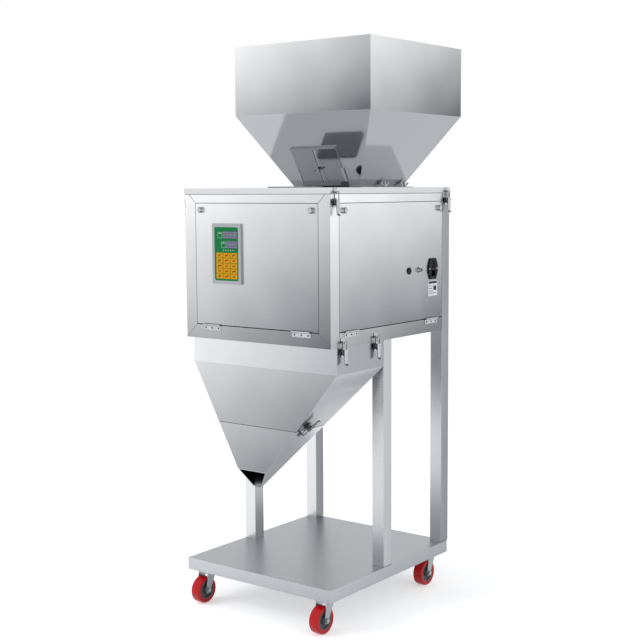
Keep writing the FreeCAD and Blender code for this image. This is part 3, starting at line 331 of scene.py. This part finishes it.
tyre_depth, shoulder, side_play = 0.0115, 0.005, 0.0005
bore_r, boss_r, web_r, web_sunk, web_end = 0.0045, 0.0105, 0.0125, 0.006, 0.007
corners = [end + "_" + side for end in ("front", "rear") for side in ("left", "right")]
for corner in corners:
    low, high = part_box("wheel_" + corner)
    middle = (Vector(low) + Vector(high)) / 2
    outer = (high[2] - low[2]) / 2
    half = (high[0] - low[0]) / 2 - side_play
    rim = outer - tyre_depth
    axle = Vector((1, 0, 0))
    # The tyre's shoulders are arcs of five steps of 15 degrees.
    profile = [(rim, -half + 0.002), (outer - shoulder, -half)]
    for i in range(1, 6):
        turn = math.radians(15 * i)
        profile.append((outer - shoulder + shoulder * math.sin(turn),
                        -half + shoulder - shoulder * math.cos(turn)))
    profile.append((outer, -half + shoulder))
    profile += [(r, -h) for r, h in reversed(profile)]
    profile.append(profile[0])
    form = bmesh.new()
    turned(form, profile, middle, axle, 72)
    tyre = piece("tyre_" + corner, form, "wheel_body_" + corner, red_tyre, 40)
    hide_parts("wheel_" + corner)
    form = bmesh.new()
    hub = [(bore_r, -half - 0.0004), (boss_r, -half - 0.0004), (boss_r + 0.001, -half + 0.001),
           (web_r, -half + web_sunk), (rim - web_end, -half + web_sunk),
           (rim - 0.004, -half + 0.0015), (rim + 0.0002, -half + 0.0015)]
    hub += [(r, -h) for r, h in reversed(hub)]
    hub.append(hub[0])
    turned(form, hub, middle, axle, 72)
    hub_piece = piece("hub_" + corner, form, "wheel_body_" + corner, hub_plastic, 30)
finish_nodes(zinc, "castor_mounts", *["castor_fork_" + corner for corner in corners])


# Cabinet frame and fixed sheets.
# Square tubes, mitred and welded at the front corners and ground flush, so that only a
# fine diagonal line is left. The left, back and floor sheets are fixed to them.
# Painted light and shade: the frame is painted light at its upper left and dark at its lower
# right, with painted tones for its side faces, and the fixed sheets likewise.
finish_nodes(satin_stainless_painted_shade("satin stainless frame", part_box("cabinet_frame"),
             "#FBFCFD", "#62656A", 0.3, 0.65, ("#FDFDFE", "#6A6D72"),
             hollow=True), "cabinet_frame")
finish_nodes(satin_stainless_painted_shade("satin stainless fixed sheet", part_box("cabinet_frame"),
             "#E8E9EB", "#A9ACB0", 0.3, hollow=True), "left_panel", "back_panel", "cabinet_floor")

weld_line = uneven("ground weld seam", 400.0, "#5C5F63", "#74777B", Metallic=1.0,
                   Roughness=0.45)


def block(form, low, high):
    """Adds a block between two corners to a bmesh and returns its vertices."""
    low, high = Vector(low), Vector(high)
    size = high - low
    made = bmesh.ops.create_cube(form, size=1, matrix=Matrix.Translation((low + high) / 2)
                                 @ Matrix.Diagonal((size.x, size.y, size.z, 1)))
    return made["verts"]


frame_low, frame_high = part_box("cabinet_frame")
tube = 0.038
seam_w, seam_in, proud = 0.0013, 0.0002, 0.00008
form = bmesh.new()
for x, turn_x in ((frame_low[0], 1), (frame_high[0], -1)):
    for z, turn_z in ((frame_low[2], 1), (frame_high[2], -1)):
        length = tube * math.sqrt(2) - seam_w
        bar = block(form, (-length / 2, -proud, -seam_w / 2), (length / 2, seam_in, seam_w / 2))
        bmesh.ops.rotate(form, verts=bar,
                         matrix=Matrix.Rotation(-turn_x * turn_z * math.pi / 4, 3, "Y"))
        bmesh.ops.translate(form, verts=bar, vec=(x + turn_x * tube / 2, frame_low[1],
                            z + turn_z * tube / 2))
for x, out in ((frame_low[0], -1), (frame_high[0], 1)):
    for y in (frame_low[1] + tube, frame_high[1] - tube):
        for z in (frame_low[2], frame_high[2] - tube):
            across = sorted((x - out * seam_in, x + out * proud))
            block(form, (across[0], y - seam_w / 2, z + 0.0003),
                  (across[1], y + seam_w / 2, z + tube - 0.0003))
seams = piece("frame_weld_seams", form, "root", weld_line)

# Black strips behind both door gaps are painted shade: dark sheets that stand for the shade in the
# gaps.
# A thin black strip along the lower edge of the lid's skirt is a painted shadow line.
# The same black rubber is the nozzle's seal ring, and painted shade in the door gaps and under the
# lid's skirt.
rubber_and_gap_shade = uneven("black rubber and painted gap shade", 900.0, "#1C1D1F", "#2B2C2F", Roughness=0.85)

door_gap = 0.0015
strip, side_strip, strip_front, strip_back = 0.0007, 0.0012, 0.0005, 0.009
bottom, top = frame_low[2] + tube, frame_high[2] - tube
form = bmesh.new()
for node, across, front, into in (("front_door", 0, frame_low[1], 1),
                                  ("side_door", 1, frame_high[0], -1)):
    door_low, door_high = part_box(node)
    start, end = door_low[across] - door_gap, door_high[across] + door_gap
    depth = sorted((front + into * strip_front, front + into * strip_back))
    inside = (start + side_strip, end - side_strip)
    for along, z in (((start, start + side_strip), (bottom, top)),
                     ((end - side_strip, end), (bottom, top)),
                     (inside, (top - strip, top)), (inside, (bottom, bottom + strip))):
        if across == 0:
            block(form, (along[0], depth[0], z[0]), (along[1], depth[1], z[1]))
        else:
            block(form, (depth[0], along[0], z[0]), (depth[1], along[1], z[1]))
piece("door_gap_shade_strips", form, "root", rubber_and_gap_shade)

# Painted shadow line: the black strip under the skirt's edge.
skirt, shadow_line_thick = 0.016, 0.00028
skirt_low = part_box("top_lid")[1][2] - skirt
form = bmesh.new()
for x, y in (((frame_low[0], frame_high[0]), (frame_low[1] - shadow_line_thick, frame_low[1])),
             ((frame_low[0] - shadow_line_thick, frame_low[0]), (frame_low[1], frame_high[1] - tube)),
             ((frame_high[0], frame_high[0] + shadow_line_thick), (frame_low[1], frame_high[1] - tube))):
    block(form, (x[0], y[0], skirt_low - 0.0012), (x[1], y[1], skirt_low + 0.002))
piece("lid_skirt_shadow_line", form, "root", rubber_and_gap_shade)


# Front door and its controller.
# A pan of satin stainless sheet that swings down on two butt hinges, with the weighing
# controller flush in it.
# Painted light and shade: the door is painted light at its upper left and dark at its lower right.
finish_nodes(satin_stainless_painted_shade("satin stainless front door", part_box("front_door"),
             "#F2F3F5", "#7C7F84", 0.3, 0.6), "front_door")

finish_nodes(uneven("clear anodised aluminium", 1500.0, "#A3A6A9", "#B0B3B6", Metallic=0.7,
                    Roughness=0.4), "controller_case")
finish_nodes(uneven("screen printed green polyester film", 2500.0, "#006E3A", "#007A42",
                    Roughness=0.5, Specular_IOR_Level=0.2), "control_film")


def printed(name, colour, rough=0.45, clear=0.0):
    """Ink or a tinted window under the film, very slightly uneven."""
    ink = new_material(name)
    ink_where = add(ink, "ShaderNodeTexCoord")
    ink_cloud = add(ink, "ShaderNodeTexNoise", {"Vector": ink_where.outputs["Object"],
                    "Scale": 1800.0})
    base = linear(colour)
    lighter = [min(1, part * 1.12) for part in base[:3]] + [1]
    tone = add(ink, "ShaderNodeMix", {0: ink_cloud.outputs[0], 6: base, 7: lighter},
               data_type="RGBA")
    return close(ink, Base_Color=tone.outputs[2], Roughness=rough, Coat_Weight=clear,
                 Specular_IOR_Level=0.2)


def pad(form, left, right, low, high, front, back, round_off):
    """Adds an upright plate that faces the front, with rounded corners."""
    verts = block(form, (left, front, low), (right, back, high))
    edges = [e for e in {e for v in verts for e in v.link_edges}
             if abs(e.verts[0].co.y - e.verts[1].co.y) > 1e-7]
    bmesh.ops.bevel(form, geom=edges, offset=round_off, offset_type="OFFSET", affect="EDGES",
                    segments=4, profile=0.5, material=-1)


film_low, film_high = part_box("control_film")
film_x, film_z = film_low[0], film_high[2]
film_wide, film_tall = film_high[0] - film_low[0], film_high[2] - film_low[2]
film_face = film_low[1]


def on_film(across, down):
    """A place on the film, by its share of the width and its share of the height down."""
    return film_x + across * film_wide, film_z - down * film_tall


window_tint = printed("tinted display window", "#4C5160", 0.2, 0.3)
segment_lit = printed("unlit digit segments", "#A7A3BD", 0.3)
white_ink = printed("white screen print", "#C9E6D2")
yellow_ink = printed("yellow key print", "#CB9405", 0.5)
field_ink = printed("amber print between the keys", "#8E7410", 0.5)
red_ink = printed("dark red key print", "#8A2A0A", 0.4)
windows, digits, outlines = bmesh.new(), bmesh.new(), bmesh.new()
for left, right, top, bottom, count in ((0.36, 0.955, 0.075, 0.215, 5),
                                        (0.5, 0.955, 0.255, 0.395, 4)):
    x0, z1 = on_film(left, top)
    x1, z0 = on_film(right, bottom)
    pad(windows, x0, x1, z0, z1, film_face - 0.0003, film_face, 0.001)
    pitch = (x1 - x0) / count
    for i in range(count):
        wide = pitch * 0.62
        tall = (z1 - z0) * 0.74
        mid_x = x0 + pitch * (i + 0.5)
        mid_z = (z0 + z1) / 2
        bar, upright = 0.0011, tall / 2.4
        for dx, dz, sx, sz in ((0, tall / 2, wide, bar), (0, 0, wide, bar),
                               (0, -tall / 2, wide, bar),
                               (-wide / 2, tall / 4, bar, upright),
                               (wide / 2, tall / 4, bar, upright),
                               (-wide / 2, -tall / 4, bar, upright),
                               (wide / 2, -tall / 4, bar, upright)):
            block(digits, (mid_x + dx - sx / 2, film_face - 0.00045, mid_z + dz - sz / 2),
                  (mid_x + dx + sx / 2, film_face - 0.00025, mid_z + dz + sz / 2))
    # The printed tag beside each window: a thin outline with a short bar above it.
    tag_x0, tag_z1 = on_film(left - 0.21, top + 0.02)
    tag_x1, tag_z0 = on_film(left - 0.03, bottom - 0.01)
    line = 0.0006
    for a, b, c, d in ((tag_x0, tag_x1, tag_z1 - line, tag_z1),
                       (tag_x0, tag_x1, tag_z0, tag_z0 + line),
                       (tag_x0, tag_x0 + line, tag_z0, tag_z1),
                       (tag_x1 - line, tag_x1, tag_z0, tag_z1),
                       (tag_x0 + 0.004, tag_x1 - 0.003, tag_z1 - 0.004, tag_z1 - 0.0025)):
        block(outlines, (a, film_face - 0.0002, c), (b, film_face, d))
for i in range(5):
    x, z = on_film(0.38 + 0.1 * i, 0.43)
    bmesh.ops.create_cone(outlines, cap_ends=True, segments=16, radius1=0.0013, radius2=0.0013,
                          depth=0.0004, matrix=Matrix.Translation((x, film_face - 0.0001, z))
                          @ Matrix.Rotation(math.pi / 2, 4, "X"))
piece("display_windows", windows, "front_door", window_tint)
piece("display_digits", digits, "front_door", segment_lit)
piece("printed_outlines", outlines, "front_door", white_ink)

# The keys are embossed 0.5 mm and lie on a printed field that shows dark between them.
field_front, key_back, key_front, mark_front = 0.0002, 0.0001, 0.0006, 0.0008
key_field = bmesh.new()
field_left, field_top = on_film(0.065, 0.475)
field_right, field_bottom = on_film(0.965, 0.968)
pad(key_field, field_left, field_right, field_bottom, field_top, film_face - field_front,
    film_face, 0.0015)
piece("key_field", key_field, "front_door", field_ink)
key_caps = bmesh.new()
key_marks = bmesh.new()
key_w = (field_right - field_left) / 3
key_h = (field_top - field_bottom) / 5
dash_half, dash = 0.0012, 0.0018
for row in range(5):
    for column in range(3):
        mid_x = field_left + key_w * (column + 0.5)
        mid_z = field_top - key_h * (row + 0.5)
        pad(key_caps, mid_x - key_w * 0.45, mid_x + key_w * 0.45, mid_z - key_h * 0.44,
            mid_z + key_h * 0.44, film_face - key_front, film_face - key_back, 0.002)
        if row == 4 and column == 0:
            # The lowest key on the left has a dot.
            bmesh.ops.create_cone(key_marks, cap_ends=True, segments=20, radius1=0.0034,
                                  radius2=0.0034, depth=0.0002,
                                  matrix=Matrix.Translation((mid_x, film_face - 0.0007, mid_z))
                                  @ Matrix.Rotation(math.pi / 2, 4, "X"))
            continue
        # The others have a long dash and two short ones, of a few lengths.
        reach = key_w * (0.14 + 0.05 * ((row + column) % 3))
        under_dash, over_dash = mid_z - key_h * 0.24, mid_z + key_h * 0.14
        for left, right, low, high in (
                (mid_x - reach, mid_x + reach, mid_z - dash_half, mid_z + dash_half),
                (mid_x - reach, mid_x - reach + 0.003, under_dash, under_dash + dash),
                (mid_x + reach - 0.0024, mid_x + reach, over_dash, over_dash + dash)):
            block(key_marks, (left, film_face - mark_front, low),
                  (right, film_face - key_front, high))
piece("keys", key_caps, "front_door", yellow_ink)
piece("key_marks", key_marks, "front_door", red_ink)


# Side door and its fittings.
# The right-hand door is a pan of satin stainless sheet that carries the power inlet with
# its rocker, the foot switch socket and a rubber cable bung.
# Painted light and shade: the side door is painted light at its upper left and dark at its lower
# right.
finish_nodes(satin_stainless_painted_shade("satin stainless side door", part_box("side_door"),
             "#E8E9EB", "#787C82", 0.3, 0.8), "side_door")

finish_nodes(uneven("moulded black thermoplastic", 1200.0, "#08090A", "#121315",
                    Roughness=0.45, Specular_IOR_Level=0.15),
             "power_inlet", "rocker_switch", "cable_bung")

# The plate below the inlet is a bare tag with rounded corners.
tag_white = printed("white enamelled aluminium tag", "#E4E7EE", 0.35)
door_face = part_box("side_door")[1][0]
form = bmesh.new()
tag_face = door_face + 0.0006
tag = block(form, (door_face, 0.149, 0.869), (tag_face, 0.1974, 0.9127))
corners = [e for e in {e for v in tag for e in v.link_edges}
           if abs(e.verts[0].co.x - e.verts[1].co.x) > 1e-7]
bmesh.ops.bevel(form, geom=corners, offset=0.0015, offset_type="OFFSET", affect="EDGES",
                segments=4, profile=0.5, material=-1)
piece("bare_tag", form, "side_door", tag_white)

# A dark band and a few short bars stand for its print, with no letters.
form = bmesh.new()
for y0, y1, z0, z1 in ((0.1515, 0.195, 0.9045, 0.911), (0.176, 0.192, 0.885, 0.8975),
                       (0.153, 0.171, 0.8965, 0.898), (0.153, 0.168, 0.8895, 0.891),
                       (0.153, 0.172, 0.8825, 0.884), (0.153, 0.19, 0.8765, 0.878)):
    block(form, (tag_face, y0, z0), (tag_face + 0.00015, y1, z1))
tag_ink = printed("dark grey tag print", "#2E3138", 0.5)
piece("tag_print", form, "side_door", tag_ink)


def screw_head(form, centre, out, radius):
    """Adds a low screw head with a round recess, with its seat at the centre."""
    rise = radius * 0.35
    quarter = Vector((0, 0, 1)).rotation_difference(out).to_matrix().to_4x4()
    seat = Matrix.Translation(centre) @ quarter
    made = bmesh.ops.create_cone(form, cap_ends=True, segments=24, radius1=radius,
                                 radius2=radius * 0.72, depth=rise,
                                 matrix=seat @ Matrix.Translation((0, 0, rise / 2)))
    top = [f for f in {f for v in made["verts"] for f in v.link_faces}
           if (f.calc_center_median() - Vector(centre)).dot(out) > rise * 0.99]
    bmesh.ops.inset_region(form, faces=top, thickness=radius * 0.25)
    bmesh.ops.translate(form, verts=list({v for f in top for v in f.verts}),
                        vec=-out * rise * 0.5)


# Two countersunk screws hold the inlet's lugs.
inlet_low, inlet_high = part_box("power_inlet")
form = bmesh.new()
for y in (inlet_low[1] + 0.0045, inlet_high[1] - 0.0045):
    screw_head(form, Vector((inlet_high[0], y, (inlet_low[2] + inlet_high[2]) / 2)),
               Vector((1, 0, 0)), 0.0028)
piece("inlet_screws", form, "side_door", zinc, 40)


# Hinges and door knobs.
# Bright butt hinges, each leaf held by three countersunk screws, and turned captive
# screws with a flat round head.
def polished(name, dark_way):
    """Polished stainless with a painted reflection in its colour. Flat faces are painted light,
    slanting or rounded ones dark, and so are those that face the dark way."""
    metal = new_material(name)
    where = add(metal, "ShaderNodeTexCoord")
    cloud = add(metal, "ShaderNodeTexNoise", {"Vector": where.outputs["Object"], "Scale": 120.0})
    light = add(metal, "ShaderNodeMix", {0: cloud.outputs[0], 6: linear("#C8CACD"),
                7: linear("#B4B6BA")}, data_type="RGBA")
    facing = add(metal, "ShaderNodeSeparateXYZ", {0: where.outputs["Normal"]})
    x = add(metal, "ShaderNodeMath", {0: facing.outputs["X"]}, operation="ABSOLUTE")
    y = add(metal, "ShaderNodeMath", {0: facing.outputs["Y"]}, operation="ABSOLUTE")
    level = add(metal, "ShaderNodeMath", {0: x.outputs[0], 1: y.outputs[0]}, operation="MAXIMUM")
    flat = add(metal, "ShaderNodeMath", {0: level.outputs[0], 1: facing.outputs["Z"]},
               operation="MAXIMUM")
    slanting = add(metal, "ShaderNodeMapRange", {0: flat.outputs[0], 1: 0.97, 2: 0.72})
    toward = add(metal, "ShaderNodeVectorMath", {0: where.outputs["Normal"], 1: dark_way},
                 operation="DOT_PRODUCT")
    away = add(metal, "ShaderNodeMapRange", {0: toward.outputs["Value"], 1: 0.5, 2: 0.8})
    shade = add(metal, "ShaderNodeMath", {0: slanting.outputs[0], 1: away.outputs[0]},
                operation="MAXIMUM")
    # Painted reflection: dark on slanting or rounded faces and on those that face the dark way.
    tone = add(metal, "ShaderNodeMix", {0: shade.outputs[0], 6: light.outputs[2],
               7: linear("#3E4044")}, data_type="RGBA")
    edge = add(metal, "ShaderNodeBevel", {"Radius": 0.0006}, samples=4)
    return close(metal, Base_Color=tone.outputs[2], Metallic=1.0, Roughness=0.18,
                 Normal=edge.outputs[0])


# Painted reflections: the hinges, knobs and socket are painted dark on faces that slant or look
# down.
bright = polished("bright polished stainless", (0, 0, -1))
finish_nodes(bright, "hinge_frame_leaves", "front_door_leaves", "side_door_leaves",
             "front_knob_left", "front_knob_right", "side_knob_front", "side_knob_rear",
             "foot_switch_socket")

screw_dark = uneven("blackened steel screw", 500.0, "#3A3B3E", "#57585C", Metallic=1.0,
                    Roughness=0.35)

form = bmesh.new()
front_face, right_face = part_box("front_door")[0][1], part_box("side_door")[1][0]
leaf_t, leaf_half, hinge_gap, screw_r = 0.0012, 0.0075, 0.0025, 0.0026
screw_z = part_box("front_door")[0][2] - hinge_gap - leaf_half
for along in (-0.023, 0, 0.023):
    for x in (-0.157, 0.157):
        screw_head(form, Vector((x + along, front_face - leaf_t, screw_z)), Vector((0, -1, 0)),
                   screw_r)
    for y in (-0.228, 0.163):
        screw_head(form, Vector((right_face + leaf_t, y + along, screw_z)), Vector((1, 0, 0)),
                   screw_r)
piece("hinge_screws", form, "root", screw_dark, 40)


# Lid, its window and its knob.
# A flat cover of stainless sheet with a folded skirt. A smoked acrylic pane lets the
# granules be seen, and a black fluted knob clamps it.
# Painted light and shade: the lid is painted a little darker to its lower right, and its top a
# lighter painted tone.
finish_nodes(satin_stainless_painted_shade("satin stainless lid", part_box("top_lid"),
             "#DDDEE0", "#D2D4D7", 0.4, top="#E6E7E9"), "top_lid")

finish_nodes(uneven("smoked cast acrylic", 20.0, "#9A9DA2", "#A3A6AB", Roughness=0.08,
                    IOR=1.49, Transmission_Weight=0.3), "lid_window")
phenolic = uneven("moulded black phenolic", 700.0, "#121214", "#1E1E21", Roughness=0.25)
finish_nodes(phenolic, "lid_knob")

knob_low, knob_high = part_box("lid_knob")
knob_mid = Vector(((knob_low[0] + knob_high[0]) / 2, (knob_low[1] + knob_high[1]) / 2, 0))
knob_r = (knob_high[0] - knob_low[0]) / 2 - 0.0002
lid_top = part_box("top_lid")[1][2]
rise = knob_high[2] - lid_top
form = bmesh.new()
outline = [(0.0, 0.0003), (knob_r * 0.72, 0.0003), (knob_r * 0.9, 0.002), (knob_r * 0.98, 0.005),
           (knob_r, rise * 0.45), (knob_r * 0.97, rise * 0.62), (knob_r * 0.86, rise * 0.8),
           (knob_r * 0.66, rise * 0.92), (knob_r * 0.35, rise * 0.985), (0.0, rise)]
turned(form, outline, knob_mid + Vector((0, 0, lid_top)), Vector((0, 0, 1)), 96)
flutes, flute_depth = 12, 0.0013
for vert in form.verts:
    from_axis = Vector((vert.co.x - knob_mid.x, vert.co.y - knob_mid.y, 0))
    if from_axis.length > knob_r * 0.7:
        turn = math.atan2(from_axis.y, from_axis.x)
        depth = flute_depth * max(0, math.cos(flutes * turn)) ** 2
        vert.co -= from_axis.normalized() * depth
fluted = piece("fluted_lid_knob", form, "window_knob", phenolic, 50)
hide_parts("lid_knob")


# Hopper and its flow gate.
# Stainless sheet, folded and welded: a square box on four slopes and a foot flange, with
# a sliding plate on the front slope that a wing nut locks.
box_bottom = 1.387
hopper_low, hopper_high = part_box("hopper")
box_low = (hopper_low[0], hopper_low[1], box_bottom)
# Painted light and shade: the hopper is painted light at its upper left and dark at its lower
# right, its sides with their own painted tones, and its downward slopes a painted shade.
finish_nodes(satin_stainless_painted_shade("satin stainless hopper", (box_low, hopper_high),
             "#F4F5F7", "#6C7075", 0.09, 0.5, ("#EBECEE", "#606469"),
             ("#A8ABAF", "#A8ABAF"), hollow=True), "hopper")
# The gate plate has the same painted light and shade.
finish_nodes(satin_stainless_painted_shade("satin stainless gate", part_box("gate_plate"),
             "#ADB0B4", "#8F9297", 0.12), "gate_plate")
# The wing nut and the clamps have painted reflections in their colour.
finish_nodes(bright, "gate_wing_nut", "hopper_clamps")

# The opening scale is etched beside the slot, one short mark every 10 mm and a long one
# every 50 mm.
slope_foot = Vector((0, 0.0036, 1.18))
up_slope = Vector((0, -0.1201, 0.207)).normalized()
off_slope = Vector((0, -0.207, -0.1201)).normalized()
along_slope = Matrix(((1, 0, 0), (0, up_slope.y, off_slope.y), (0, up_slope.z, off_slope.z)))
first_mark, mark_step, beside_slot, gate_face = 0.02, 0.01, 0.012, 0.0019
form = bmesh.new()
for i in range(11):
    mark = block(form, (-0.5, -0.5, -0.5), (0.5, 0.5, 0.5))
    length = 0.008 if i % 5 == 0 else 0.005
    place = (slope_foot + up_slope * (first_mark + mark_step * i) + off_slope * gate_face
             + Vector((beside_slot + length / 2, 0, 0)))
    bmesh.ops.transform(form, verts=mark, matrix=Matrix.Translation(place)
                        @ along_slope.to_4x4() @ Matrix.Diagonal((length, 0.0012, 0.0003, 1)))
piece("gate_scale", form, "gate", screw_dark)


# Funnel and nozzle.
# A collar with a slanted open funnel below it, and a nozzle that slips on its end and has
# a rounded pouring lip.
# Painted light and shade: the funnel and the nozzle are painted light at their upper left and dark
# at their lower right, with painted tones for their sides and for faces that look down.
finish_nodes(satin_stainless_painted_shade("satin stainless funnel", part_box("funnel"),
             "#E6E8EA", "#808388", 0.22, 0.4, ("#A9ACB0", "#999CA0"),
             ("#AFB2B5", "#BEC1C4"), hollow=True), "funnel")
finish_nodes(satin_stainless_painted_shade("satin stainless nozzle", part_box("nozzle"),
             "#C6C9CC", "#6C6F74", 0.22, 0.5, ("#AEB1B4", "#A9ACAF"),
             ("#A9ACB0", "#EEF0F2")), "nozzle")

# A thin black seal ring shows round the joint of the funnel and the nozzle.
joint_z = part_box("funnel")[0][2]
ring = [v.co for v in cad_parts["funnel"].data.vertices if v.co.z < joint_z + 0.0001]
ring_x = (min(c.x for c in ring), max(c.x for c in ring))
ring_y = (min(c.y for c in ring), max(c.y for c in ring))
seal_h, seal_out, seal_in = 0.0006, 0.0004, 0.0004
form = bmesh.new()
for x, y in ((ring_x, (ring_y[0] - seal_out, ring_y[0] + seal_in)),
             (ring_x, (ring_y[1] - seal_in, ring_y[1] + seal_out)),
             ((ring_x[0] - seal_out, ring_x[0] + seal_in), ring_y),
             ((ring_x[1] - seal_in, ring_x[1] + seal_out), ring_y)):
    block(form, (x[0], y[0], joint_z - seal_h), (x[1], y[1], joint_z + seal_h))
piece("nozzle_seal", form, "root", rubber_and_gap_shade)


# Toggle latches.
# Bright stainless levers, loops and hooks: they clamp the lid, the funnel and the nozzle.
# Painted reflections: the latches are painted dark on faces that slant or look to the front.
finish_nodes(polished("polished stainless latches", (0, -1, 0)), "latch_plates",
             *[group + "_" + part + "_" + side for group in ("lid", "funnel", "nozzle")
               for part in ("levers", "bails") for side in ("left", "right")])


# Feeder, weigh bucket and load cell, inside the cabinet.
# A vibrating tray on two leaf spring packs over a cast base, a weigh bucket with two
# flaps, and an aluminium load cell on its bracket.
# Painted light and shade: the tray and the bucket are painted light at their upper left and dark
# at their lower right.
finish_nodes(satin_stainless_painted_shade("satin stainless feeder tray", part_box("feeder_tray"),
             "#E2E4E6", "#AEB1B5", 0.25, hollow=True), "feeder_tray")
finish_nodes(satin_stainless_painted_shade("satin stainless weigh bucket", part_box("weigh_bucket"),
             "#E2E4E6", "#AEB1B5", 0.25, hollow=True), "weigh_bucket", "bucket_flap_front",
             "bucket_flap_rear")

drive_paint = new_material("hammered grey enamel on iron")
drive_where = add(drive_paint, "ShaderNodeTexCoord")
# Hammered enamel has cells about 4 mm wide.
drive_cells = add(drive_paint, "ShaderNodeTexVoronoi", {"Vector": drive_where.outputs["Object"],
                  "Scale": 250.0})
drive_tone = add(drive_paint, "ShaderNodeMix", {0: drive_cells.outputs["Distance"],
                 6: linear("#4D5F70"), 7: linear("#5E7183")}, data_type="RGBA")
drive_bump = add(drive_paint, "ShaderNodeBump", {"Strength": 0.25, "Distance": 0.0005,
                 "Height": drive_cells.outputs["Distance"]})
close(drive_paint, Base_Color=drive_tone.outputs[2], Roughness=0.4, Normal=drive_bump.outputs[0])
finish_nodes(drive_paint, "feeder_drive")

finish_nodes(uneven("blued spring steel", 45.0, "#4A4E57", "#6A6A70", Metallic=1.0,
                    Roughness=0.35), "feeder_springs")

bar_metal = new_material("milled aluminium bar")
bar_where = add(bar_metal, "ShaderNodeTexCoord")
# Cutter marks 0.5 mm apart, drawn 2 mm apart.
bar_marks = add(bar_metal, "ShaderNodeTexWave", {"Vector": bar_where.outputs["Object"],
                "Scale": 80.0, "Distortion": 1.0}, bands_direction="X")
bar_tone = add(bar_metal, "ShaderNodeMix", {0: bar_marks.outputs[0], 6: linear("#D5D6D8"),
               7: linear("#C2C4C7")}, data_type="RGBA")
close(bar_metal, Base_Color=bar_tone.outputs[2], Metallic=1.0, Roughness=0.33)
finish_nodes(bar_metal, "load_cell", "cell_bracket")


low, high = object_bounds()
